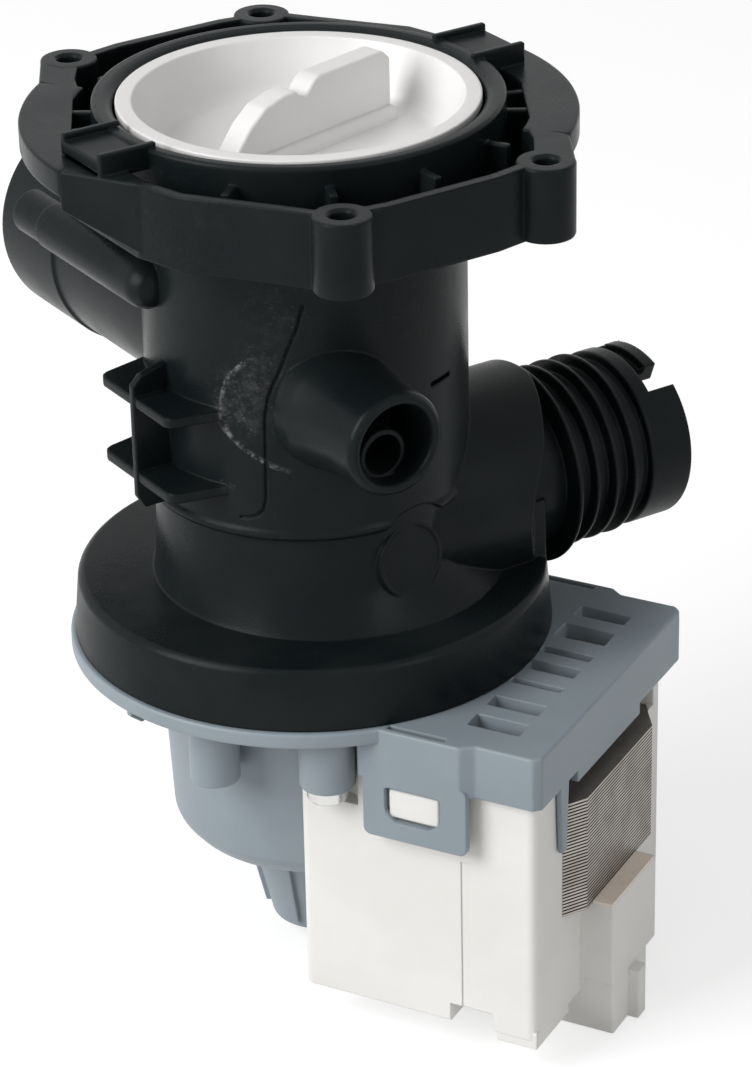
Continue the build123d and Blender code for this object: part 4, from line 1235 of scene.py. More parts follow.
@dataclass
class RibbedOutlet:
    """The hose outlet with its ribs, its notched end, the hook and the dome it grows from."""

    x: float = 7.6
    z: float = 23.5
    radius: float = 15.9
    bore: float = 13.6
    end: float = 72.0
    seat: float = 17.6
    seat_low: float = 62.6
    rim: Pair = (20.0, 44.0)
    rib: float = 18.1
    rib_first: float = 49.45
    rib_pitch: float = 4.45
    ribs: int = 3
    dome: float = 20.8
    dome_end: float = 43.7
    dome_round: float = 0.8
    dome_limit: tuple[Pair, ...] = ((42.6, 0.0), (42.6, 20.0), (43.2, 28.0), (44.6, 36.0), (44.6, 60.0))
    notches: tuple[Pair, ...] = ((50.0, 68.0), (112.0, 130.0))
    notch_low: float = 65.9
    hook: Pair = (68.0, 112.0)
    hook_reach: Pair = (68.4, 71.0)
    gusset: tuple[Pair, Pair, Pair] = ((22.9, 24.5), (0.0, 37.8), (9.8, 24.0))

    def _profile(self) -> list[Pair]:
        """The pipe's outside, as radius and distance."""
        points = [(0.0, 0.0), (self.radius, 0.0)]
        crests = [self.rim] + [(self.rib, self.rib_first + self.rib_pitch * i) for i in range(self.ribs)]
        for crest, middle in crests:
            points += [(self.radius, middle - 0.62), (crest, middle - 0.42), (crest, middle + 0.42),
                       (self.radius, middle + 0.62)]
        points += [(self.radius, self.seat_low), (self.seat - 0.2, self.seat_low),
                   (self.seat, self.seat_low + 0.5)]
        return points + [(self.seat, self.end), (0.0, self.end)]

    def _wedge(self, inner: float, span: Pair, low: float, high: float) -> Blank:
        """A cutter round the outlet's own axis.

        Args:
            inner: How far in it reaches.
            span: Its first and last angle, counted from +X up.
            low: Where it starts along the outlet.
            high: Where it ends.

        Returns:
            The cutter.
        """
        first, last = span
        wedge = Blank.swept(inner, self.seat + OVERRUN, low, high, -last, last - first)
        return wedge.laid(Heading.ALONG_Y, (self.x, 0.0, self.z))

    def solids(self) -> list[Blank]:
        """The pipe, the dome and the gusset."""
        at = (self.x, 0.0, self.z)
        pipe = Blank.turned(self._profile(), 96).soften(0.22, 2, 25.0).laid(Heading.ALONG_Y, at)
        rough = [(0.0, 0.0), (self.dome, 0.0), (self.dome, self.dome_end), (0.0, self.dome_end)]
        rounded = Blank.turned(rough, 96).soften(self.dome_round, 7).laid(Heading.ALONG_Y, at)
        limit = Blank.turned([(0.0, 0.0), *self.dome_limit, (0.0, self.dome_limit[-1][1])], 128)
        dome = Moulding("dome", rounded).keep_inside(limit).blank().soften(1.6, 4, 40.0)
        return [dome, pipe, Blank.box(*self.gusset).soften(0.3)]

    def hollows(self) -> list[Blank]:
        """The bore, eased at the end, the two notches and the gaps round the hook."""
        bore = [(0.0, 8.0), (self.bore, 8.0), (self.bore, self.end - 0.9), (self.bore + 0.9, self.end + 0.2),
                (0.0, self.end + 0.2)]
        inner = self.bore - 1.0
        low, high = self.hook_reach
        cuts = [self._wedge(inner, span, self.notch_low, self.end + 1.0) for span in self.notches]
        cuts.append(self._wedge(self.radius, self.hook, self.notch_low, low))
        cuts.append(self._wedge(inner, self.hook, high, self.end + 1.0))
        return [Blank.turned(bore, 80).laid(Heading.ALONG_Y, (self.x, 0.0, self.z))] + cuts


@dataclass
class SideInlet:
    """The wide inlet with the small closed tube beside it."""

    y: float = -4.5
    z: float = 63.0
    radius: float = 21.5
    bore: float = 19.2
    end: float = -70.5
    seat: float = 20.0
    neck: float = 21.0
    tube_y: float = -31.0
    tube_z: float = 76.0
    tube: float = 4.7
    tube_tip: float = 4.4
    tube_bore: float = 2.8
    tube_span: Pair = (-47.0, -0.5)
    tube_round: tuple[Pair, ...] = ((1.0, 4.0), (0.93, 2.2), (0.72, 0.8), (0.36, 0.1), (0.0, 0.0))
    tube_blind: float = -14.0
    web: float = 2.0
    web_end: float = -36.0
    web_start: float = -6.0

    def solids(self) -> list[Blank]:
        """The inlet, the tube with its round end and the web between them."""
        pipe = [(0.0, 0.0), (self.radius, 0.0), (self.radius, self.seat), (self.neck, self.seat + 0.3),
                (self.neck, -self.end), (0.0, -self.end)]
        inlet = Blank.turned(pipe, 112).soften(0.8, 3).laid(Heading.ALONG_X, (self.end, self.y, self.z))
        start, stop = self.tube_span
        length = stop - start
        reach = [(0.0, 0.0), (self.tube_tip, 0.0), (self.tube_tip, 9.0), (self.tube, 9.3)]
        reach += [(self.tube * share, length - back) for share, back in self.tube_round]
        tube = Blank.turned(reach, 48).laid(Heading.ALONG_X, (start, self.tube_y, self.tube_z))
        plate = [(self.web_end, self.tube_y), (self.web_end, self.y), (self.web_start, self.y),
                 (self.web_start, self.tube_y)]
        web = Blank.slab(plate, self.tube_z - self.web / 2, self.tube_z + self.web / 2)
        return [inlet, tube, web]

    def hollows(self) -> list[Blank]:
        """The two bores."""
        tube_start = self.tube_span[0] - 2.0
        pipe = Blank.rod(self.bore, 0.0, 2.0 - self.end - 8.0, steps=96)
        thin = Blank.rod(self.tube_bore, 0.0, self.tube_blind - tube_start, steps=32)
        return [pipe.laid(Heading.ALONG_X, (self.end - OVERRUN, self.y, self.z)),
                thin.laid(Heading.ALONG_X, (tube_start, self.tube_y, self.tube_z))]


@dataclass
class HosePort:
    """The short port for the small hose, with a spout inside."""

    y: float = -10.4
    z: float = 57.5
    end: float = 47.0
    radius: float = 10.0
    straight: float = 39.0
    root: float = 24.0
    root_radius: float = 11.8
    bore: float = 7.5
    floor: float = 33.0
    spout_y: float = -11.0
    spout_z: float = 54.4
    spout: float = 4.8
    spout_bore: float = 3.8
    spout_end: float = 43.0

    def solids(self) -> list[Blank]:
        """The port with its swelling root."""
        length = self.end - self.root
        swell = [(0.0, 0.0), (self.root_radius, 0.0), (self.root_radius, 3.4), (self.root_radius - 0.3, 5.0),
                 (self.root_radius - 0.8, 7.0), (self.radius, self.straight - self.root),
                 (self.radius, length - 1.5),
                 (self.radius - 0.35, length - 0.6), (self.radius - 1.1, length), (0.0, length)]
        return [Blank.turned(swell, 72).laid(Heading.ALONG_X, (self.root, self.y, self.z))]

    def hollows(self) -> list[Blank]:
        """The port's bore down to its floor."""
        depth = self.end - self.floor
        bore = [(0.0, 0.0), (self.bore, 0.0), (self.bore, depth - 1.1), (self.bore + 0.25, depth - 0.4),
                (self.bore + 0.8, depth + 0.1), (0.0, depth + 0.1)]
        return [Blank.turned(bore, 64).laid(Heading.ALONG_X, (self.floor, self.y, self.z))]

    def spout_solids(self) -> list[Blank]:
        """The spout that stands on the floor."""
        pipe = Blank.rod(self.spout, 0.0, self.spout_end - self.floor + 1.0, steps=48).soften(0.3)
        return [pipe.laid(Heading.ALONG_X, (self.floor - 1.0, self.spout_y, self.spout_z))]

    def spout_hollows(self) -> list[Blank]:
        """The way from the spout into the barrel."""
        way = Blank.rod(self.spout_bore, 0.0, self.spout_end + OVERRUN - 20.0, steps=40)
        return [way.laid(Heading.ALONG_X, (20.0, self.spout_y, self.spout_z))]


@dataclass
class SideBracket:
    """Two pointed plates on one upright web, for a cable or hose."""

    thick: float = 2.0
    lows: Pair = (39.4, 54.6)
    outline: tuple[Pair, ...] = (
        (-15.0, -25.5), (-12.9, -35.6), (-12.2, -36.9), (-10.8, -37.5), (10.8, -37.5), (12.2, -36.9),
        (12.9, -35.6), (15.0, -25.5),
    )
    web: float = 1.5
    web_outline: tuple[Pair, ...] = (
        (-25.5, 34.0), (-36.2, 34.0), (-37.8, 36.5), (-37.8, 58.8), (-35.8, 60.8), (-30.4, 62.2),
        (-25.5, 62.2),
    )

    def solids(self) -> list[Blank]:
        """The two plates and the web."""
        made = [Blank.slab(self.outline, low, low + self.thick).soften(0.35) for low in self.lows]
        half = self.web / 2
        made.append(Blank.slab(self.web_outline, -half, half).upright_yz(0.0).soften(0.25))
        return made


@dataclass
class BarrelMarks:
    """Thin marks on the barrel's outside: the parting line, a slit and a bare round pad."""

    line: tuple[Triple, ...] = (
        (25.7, -16.2, 78.6), (25.0, -17.3, 73.8), (23.9, -18.8, 69.4), (23.1, -19.8, 65.9),
        (22.1, -20.9, 62.6), (21.4, -21.6, 59.8), (21.0, -22.0, 56.6), (20.9, -22.1, 53.8),
        (20.8, -22.2, 46.6), (20.7, -22.3, 39.6), (20.3, -22.7, 37.5), (19.5, -23.4, 36.3),
        (18.2, -24.4, 35.6), (16.6, -25.5, 35.4),
    )
    line_wide: float = 0.55
    line_out: float = 30.9
    line_thick: float = 0.9
    slit: tuple[float, float, float, float] = (22.3, 57.6, 6.2, 0.95)
    slit_reach: Pair = (28.9, 31.4)
    pad_azimuth: float = 5.6
    pad_height: float = 23.7
    pad_radius: float = 7.3
    recess: tuple[float, float, float] = (8.0, 24.0, 10.3)

    def parting_line(self) -> Blank:
        """The cutter of a fine groove, drawn by moving its first edge along the way."""
        blank = Blank()
        bm = blank.bm
        half = self.line_wide / 2
        ways = [Vector(point) for point in self.line]
        row = None
        for i, point in enumerate(ways):
            ahead = ways[min(i + 1, len(ways) - 1)] - ways[max(i - 1, 0)]
            out = Vector((point.x, point.y, 0.0)).normalized()
            side = ahead.cross(out).normalized() * half
            middle = out * self.line_out + Vector((0.0, 0.0, point.z))
            if row is None:
                ends = [bm.verts.new(middle - side), bm.verts.new(middle + side)]
                row = bm.edges.new(ends)
                continue
            grown = bmesh.ops.extrude_edge_only(bm, edges=[row])["geom"]
            row = next(item for item in grown if isinstance(item, bmesh.types.BMEdge))
            first, second = row.verts
            if (first.co - middle).dot(side) > (second.co - middle).dot(side):
                first, second = second, first
            first.co = middle - side
            second.co = middle + side
        bmesh.ops.recalc_face_normals(bm, faces=bm.faces[:])
        if sum(face.normal.dot(face.calc_center_median()) for face in bm.faces) < 0:
            bmesh.ops.reverse_faces(bm, faces=bm.faces[:])
        bmesh.ops.solidify(bm, geom=bm.faces[:], thickness=self.line_thick)
        return blank._tidy()

    def slit_blank(self) -> Blank:
        """The short slit beside the port."""
        azimuth, height, length, wide = self.slit
        cutter = Blank.box(self.slit_reach, (-length / 2, length / 2), (height - wide / 2, height + wide / 2))
        return cutter.about(azimuth)

    def pad_recess(self) -> Blank:
        """The round place above the pad where the barrel's lip gives way."""
        azimuth, height, radius = self.recess
        x, y = polar(30.0, azimuth)
        return Blank.rod(radius, -2.0, 6.0, steps=64).tumbled(82.0, (x, y, height), azimuth)

    def pad(self) -> Blank:
        """A low round pad with a fine rim on the foot."""
        radius = self.pad_radius
        profile = [(0.0, -3.0), (radius, -3.0), (radius, 0.35), (radius - 0.7, 0.35), (radius - 0.8, 0.12),
                   (0.0, 0.12)]
        disc = Blank.turned(profile, 56)
        x, y = polar(30.05, self.pad_azimuth)
        return disc.tumbled(82.0, (x, y, self.pad_height), self.pad_azimuth)


@dataclass
class PumpHousing:
    """The black moulding: barrel, foot, skirt, mouth, outlet, inlet, port and bracket in one piece."""

    barrel: FilterBarrel = field(default_factory=FilterBarrel)
    skirt: Skirt = field(default_factory=Skirt)
    mouth: MouthFlange = field(default_factory=MouthFlange)
    outlet: RibbedOutlet = field(default_factory=RibbedOutlet)
    inlet: SideInlet = field(default_factory=SideInlet)
    port: HosePort = field(default_factory=HosePort)
    bracket: SideBracket = field(default_factory=SideBracket)
    marks: BarrelMarks = field(default_factory=BarrelMarks)

    def build(self) -> None:
        """Joins the whole moulding, cuts its ways and hangs it on the pump's body."""
        barrel = self.barrel.solids()
        work = Moulding("pump_housing_moulding", barrel[0])
        work.cut(self.marks.pad_recess(), self.marks.parting_line())
        work.join(*barrel[1:], *self.skirt.solids(), *self.outlet.solids(), *self.inlet.solids())
        work.join(*self.port.solids(), *self.bracket.solids(), *self.mouth.solids())
        work.join(self.marks.pad())
        work.cut(*self.skirt.hollows(), *self.barrel.hollows(self.mouth.ring_top), *self.mouth.hollows())
        work.cut(*self.outlet.hollows(), *self.inlet.hollows(), *self.port.hollows(), self.marks.slit_blank())
        work.join(*self.port.spout_solids()).cut(*self.port.spout_hollows())
        work.join(*self.barrel.keys(), *self.mouth.threads())
        delivery = Delivery("pump_housing_moulding", BLACK, Body.PUMP, Slot.BLACK, ("pump_housing",))
        delivery.send(work.finished())


@dataclass
class FilterCap:
    """The milky cap with its cup, wing grip, plug and thread ribs."""

    profile: tuple[Pair, ...] = (
        (0.0, 78.4), (6.9, 78.4), (6.9, 79.7), (6.0, 79.7), (6.0, 94.4), (22.0, 94.4), (22.0, 86.6),
        (27.4, 86.6), (27.4, 87.4), (25.0, 87.4), (25.0, 90.6), (27.4, 90.6), (27.4, 93.4), (29.0, 93.4),
        (29.0, 96.4), (30.3, 96.4), (30.3, 93.4), (32.1, 93.4), (32.1, 104.4), (33.4, 105.5), (33.4, 107.2),
        (30.3, 107.2), (27.75, 99.3),
        (27.2, 98.0), (26.3, 97.25), (25.0, 97.0), (0.0, 97.0),
    )
    rim: float = 0.28
    grip_turn: float = 104.0
    grip_thick: float = 5.0
    grip: tuple[Pair, ...] = (
        (-22.5, 96.5), (-18.0, 102.0), (-15.0, 105.3), (-11.0, 108.0), (-6.0, 109.0), (-3.0, 109.0),
        (-1.6, 107.6), (-0.4, 107.6), (1.5, 109.6), (3.0, 110.3), (20.0, 110.3), (22.0, 108.5), (22.0, 96.5),
    )
    foot_x: Pair = (-19.0, 22.0)
    foot_half: float = 4.5
    foot_top: float = 99.5
    thread_low: float = 94.7
    thread_root: float = 31.5
    thread_crest: float = 33.5
    thread_sweep: float = 60.0
    lead: float = 10.0

    def grip_blank(self) -> Blank:
        """The wing with its wider foot."""
        half = self.grip_thick / 2
        wing = Blank.slab(self.grip, -half, half).upright_xz(0.0).soften(1.1, 4, 20.0)
        taper = [(-self.foot_half, 94.6), (self.foot_half, 94.6), (self.foot_half - 0.5, self.foot_top - 1.2),
                 (half + 0.6, self.foot_top), (-half - 0.6, self.foot_top),
                 (0.5 - self.foot_half, self.foot_top - 1.2)]
        start, stop = self.foot_x
        foot = Blank.slab(taper, 0.0, stop - start).upright_yz(start).soften(0.5, 3, 20.0)
        return Moulding("grip", wing).join(foot).blank().about(self.grip_turn)

    def build(self) -> None:
        """Turns the cap, joins the grip and threads, and hangs it on the cap's body."""
        work = Moulding("filter_cap_moulding", Blank.turned(self.profile, 144).soften(self.rim, 3, 35.0))
        work.join(self.grip_blank())
        rise = self.lead * self.thread_sweep / 360.0
        for start in (0.0, 180.0):
            rib = Blank.swept(self.thread_root, self.thread_crest, self.thread_low - 1.0,
                              self.thread_low + 1.0, start, self.thread_sweep, rise, 20)
            work.join(rib.soften(0.2))
        Delivery("filter_cap_moulding", WHITE, Body.CAP, Slot.WHITE, ("filter_cap",)).send(work.finished())


@dataclass
class MotorFlange:
    """The blue-grey plate with its apron, slots, clip loops, can and bearing boss."""

    disc: float = 47.0
    thick: float = 3.1
    edge: float = 0.55
    half_outline: tuple[Pair, ...] = (
        (0.0, -34.7), (48.0, -34.7), (50.5, -32.9), (62.0, -32.9), (63.4, -31.5),
    )
    apron_low: float = -11.0
    apron_wall: float = 1.6
    apron_start: float = 27.0
    apron_inner: tuple[Pair, ...] = (
        (22.0, -34.7), (47.5, -34.7), (50.0, -32.9), (61.34, -32.9), (61.8, -32.4),
    )
    slot_x: Pair = (45.5, 56.1)
    slots: tuple[Pair, ...] = (
        (-26.0, -21.5), (-17.7, -13.8), (-8.0, -6.2), (-2.0, 1.7), (5.1, 7.5), (12.0, 17.5), (21.2, 25.1),
    )
    tab_spans: tuple[Pair, ...] = ((-15.8, 12.8),)
    tab_low: float = -13.4
    leg: tuple[Pair, ...] = ((-22.6, -25.2), (-20.7, -25.2), (-19.6, -9.0), (-23.5, -9.0))
    leg_x: Pair = (62.3, 63.4)
    loop_x: Pair = (28.0, 49.4)
    loop_low: float = -23.0
    window_x: Pair = (32.6, 44.0)
    window_z: Pair = (-19.2, -12.0)
    window_corner: float = 2.1
    loop_slot: tuple[Pair, Pair] = ((32.8, 44.6), (-33.6, -32.4))
    loop_y: float = -34.7
    can: tuple[Pair, ...] = ((0.0, -1.5), (30.3, -1.5), (28.5, -39.5), (25.6, -43.0), (0.0, -43.0))
    can_inside: tuple[Pair, ...] = ((0.0, -3.1), (28.4, -3.1), (26.6, -41.0), (25.4, -41.5), (0.0, -41.5))
    can_cut: float = 12.3
    well: Pair = (17.2, 15.6)
    well_floor: float = -41.0
    boss: tuple[Pair, ...] = ((0.0, -43.0), (15.0, -43.0), (9.8, -66.0), (0.0, -66.0))
    boss_ribs: int = 6
    boss_rib: tuple[Pair, ...] = ((0.0, -43.5), (15.9, -43.5), (11.2, -64.0), (0.0, -64.0))
    boss_rib_thick: float = 1.2
    seat: Pair = (8.0, -52.3)
    pit: Pair = (6.0, -62.5)
    recess: Pair = (20.3, 1.2)
    screw_at: float = 38.5
    screw_angles: tuple[float, ...] = (-59.0, 59.0, 180.0)
    screw_boss: Pair = (5.3, -15.2)
    screw_hole: float = 1.8
    support: tuple[float, float, float, float] = (35.2, 95.0, 4.8, -18.5)
    fin: tuple[Pair, ...] = ((28.0, -2.0), (44.0, -2.0), (44.0, -6.5), (41.5, -8.5), (28.0, -4.5))
    fin_angle: float = 115.0
    fin_thick: float = 1.5

    def outline(self) -> list[Pair]:
        """The plate's whole outline."""
        return mirrored(self.half_outline)

    def apron(self) -> Blank:
        """The wall that hangs round the motor's end."""
        wall = self.apron_wall
        start = self.apron_start
        outer = mirrored([(start, self.loop_y)] + list(self.half_outline[1:]))
        inner = mirrored([(x, y + wall) for x, y in self.apron_inner])
        work = Moulding("apron", Blank.slab(outer, self.apron_low, -1.0).soften(0.4, 2))
        return work.cut(Blank.slab(inner, self.apron_low - OVERRUN, -self.thick)).blank()

    def loop(self) -> Blank:
        """One clip loop with its window."""
        y = (self.loop_y, self.loop_y + self.apron_wall)
        frame = Blank.box(self.loop_x, y, (self.loop_low, self.apron_low + OVERRUN))
        frame.round_along((0.0, 1.0, 0.0), 1.5).soften(0.25)
        left, right = self.window_x
        low, high = self.window_z
        corner = self.window_corner
        shape = [(left, high), (left, low + corner), (left + corner, low), (right - corner, low),
                 (right, low + corner), (right, high)]
        window = Blank.slab(shape, -3.0, 3.0).upright_xz(self.loop_y).round_along((0.0, 1.0, 0.0), 0.6)
        return Moulding("loop", frame).cut(window).blank()

    def bowl(self) -> Blank:
        """The can's shell, open towards the stator."""
        work = Moulding("bowl", Blank.turned(self.can, 128).soften(1.2, 4, 30.0))
        work.cut(Blank.turned(self.can_inside, 96))
        return work.cut(Blank.box((self.can_cut, 50.0), (-50.0, 50.0), (-46.0, -self.thick))).blank()

    def under(self) -> list[Blank]:
        """Screw bosses, round supports and fins under the plate."""
        made = []
        radius, low = self.screw_boss
        for angle in self.screw_angles:
            made.append(Blank.rod(radius, low, -1.0, polar(self.screw_at, angle)).soften(0.5))
        at, angle, wide, bottom = self.support
        half = self.fin_thick / 2
        fin = Blank.slab(self.fin, -half, half).upright_xz(0.0).soften(0.25)
        for side in (-1.0, 1.0):
            made.append(Blank.rod(wide, bottom, -1.0, polar(at, side * angle)).soften(0.5))
            made.append(fin.copy().about(side * self.fin_angle))
        return made

    def build(self) -> None:
        """Joins the plate and all that hangs from it, and hangs it on the pump's body."""
        plate = Blank.rod(self.disc, -self.thick, 0.0, steps=160).soften(self.edge, 3)
        work = Moulding("motor_flange_moulding", plate)
        work.join(Blank.slab(self.outline(), -self.thick, 0.0).soften(self.edge, 3), self.apron())
        far = self.half_outline[-1][0]
        for span in self.tab_spans:
            tab = Blank.box((far - self.apron_wall, far), span, (self.tab_low, self.apron_low + OVERRUN))
            work.join(tab.soften(0.3))
        leg = Blank.slab(self.leg, 0.0, self.leg_x[1] - self.leg_x[0]).upright_yz(self.leg_x[0]).soften(0.25)
        loop = self.loop()
        work.join(leg, loop.other_side(), loop, self.bowl(), *self.under())
        bowl_clear = Blank.rod(self.support[0] - self.support[2], -43.0, -self.thick, steps=96)
        inside = Moulding("inside", bowl_clear).cut(Blank.turned(self.can, 128)).blank()
        work.cut(inside)
        work.join(Blank.rod(self.well[0], -43.0, -1.0, steps=96), Blank.turned(self.boss, 96).soften(0.8, 3))
        half = self.boss_rib_thick / 2
        for number in range(self.boss_ribs):
            rib = Blank.slab(self.boss_rib, -half, half).upright_xz(0.0).soften(0.25)
            work.join(rib.about(30.0 + 360.0 / self.boss_ribs * number))
        for span in self.slots:
            hole = Blank.box(self.slot_x, span, (-self.thick - OVERRUN, OVERRUN))
            work.cut(hole.round_along((0.0, 0.0, 1.0), 0.35, 2))
        xs, ys = self.loop_slot
        gap = Blank.box(xs, ys, (-self.thick - 0.4, OVERRUN))
        work.cut(gap.other_side(), gap)
        work.cut(Blank.rod(self.well[1], self.well_floor, OVERRUN, steps=96),
                 Blank.rod(self.recess[0], -self.recess[1], OVERRUN, steps=96),
                 Blank.rod(self.seat[0], self.seat[1], self.well_floor + OVERRUN),
                 Blank.rod(self.pit[0], self.pit[1], self.seat[1] + OVERRUN))
        for angle in self.screw_angles:
            at = polar(self.screw_at, angle)
            work.cut(Blank.rod(self.screw_hole, self.screw_boss[1] - OVERRUN, OVERRUN, at, steps=24))
        name = "motor_flange_moulding"
        Delivery(name, GREY, Body.PUMP, Slot.GREY, ("motor_flange",), True).send(work.finished())


@dataclass
class FlangeScrews:
    """The three screws that hold the motor to the housing."""

    at: float = 38.5
    angles: tuple[float, ...] = (-59.0, 59.0, 180.0)
    shank: float = 1.5
    tip: float = 9.0
    boss_low: float = -15.2
    head: float = 3.9
    head_low: float = -18.4
    drive: Recess = Recess.CROSS

    def screw(self) -> Blank:
        """One screw standing on the axis."""
        profile = [(0.0, self.head_low), (self.head - 0.6, self.head_low), (self.head, self.head_low + 0.7),
                   (self.head, self.boss_low), (self.shank, self.boss_low), (self.shank, self.tip - 1.5),
                   (0.0, self.tip)]
        work = Moulding("screw", Blank.turned(profile, 40).soften(0.2, 2, 50.0))
        arms = ((1.9, 0.45), (0.45, 1.9)) if self.drive is Recess.CROSS else ((2.6, 0.4),)
        for x, y in arms:
            work.cut(Blank.box((-x, x), (-y, y), (self.head_low - 1.0, self.head_low + 1.2)))
        return work.blank()

    def build(self) -> None:
        """Makes the screws as separate pieces."""
        for number, angle in enumerate(self.angles, 1):
            mesh = self.screw().shift(*polar(self.at, angle)).mesh(f"flange_screw_{number}")
            nodes = ("flange_screws",) if number == 1 else ()
            Delivery(f"flange_screw_{number}", ZINC, Body.PUMP, Slot.SCREW, nodes, True).send(mesh)


@dataclass
class StackShape:
    """The outline of the stamped sheets, shared by the stack and the overmould's pocket."""

    half: tuple[Pair, ...] = ((52.0, 9.0), (-14.0, 9.0), (-14.0, 22.0), (60.5, 22.0), (65.0, 15.0))
    low: float = -41.0
    high: float = -16.5
    pole_bore: float = 17.5
    pole_round: float = 6.0
    leg: Pair = (9.0, 22.0)

    def outline(self) -> list[Pair]:
        """The whole outline of one sheet."""
        return mirrored(self.half)

    def leg_box(self, grow: float, xs: Pair) -> Blank:
        """A box round one leg of the stack.

        Args:
            grow: How far it stands off the leg.
            xs: Where it starts and ends along the leg.

        Returns:
            The box.
        """
        return Blank.box(xs, (self.leg[0] - grow, self.leg[1] + grow), (self.low - grow, self.high + grow))


@dataclass
class LaminationStack:
    """The stack of stamped steel sheets, each one a solid of its own."""

    shape: StackShape = field(default_factory=StackShape)
    sheets: int = 35
    share: float = 0.68

    def build(self) -> None:
        """Stamps one sheet, repeats it and hangs the stack on the pump's body."""
        pitch = (self.shape.high - self.shape.low) / self.sheets
        first = Blank.slab(self.shape.outline(), self.shape.low, self.shape.low + pitch * self.share)
        corners = [edge for edge in first.bm.edges if abs(edge.verts[0].co.x - edge.verts[1].co.x) < 0.01
                   and abs(edge.verts[0].co.y) > 21.9 and edge.verts[0].co.x < -13.0
                   and abs(edge.verts[0].co.z - edge.verts[1].co.z) > pitch * 0.5]
        first.bevel(corners, self.shape.pole_round, 4)
        bore = Blank.rod(self.shape.pole_bore, self.shape.low - 1.0, self.shape.high + 1.0, steps=64)
        sheet = Moulding("sheet", first).cut(bore).blank()
        bm = sheet.bm
        pattern = bm.faces[:] + bm.edges[:] + bm.verts[:]
        for number in range(1, self.sheets):
            copied = bmesh.ops.duplicate(bm, geom=pattern)["geom"]
            verts = [item for item in copied if isinstance(item, bmesh.types.BMVert)]
            bmesh.ops.translate(bm, verts=verts, vec=(0.0, 0.0, pitch * number))
        Delivery("lamination_sheets", SHEETS, Body.PUMP, Slot.SHEETS, ("lamination_stack",), True).send(
            sheet.mesh("lamination_sheets"))


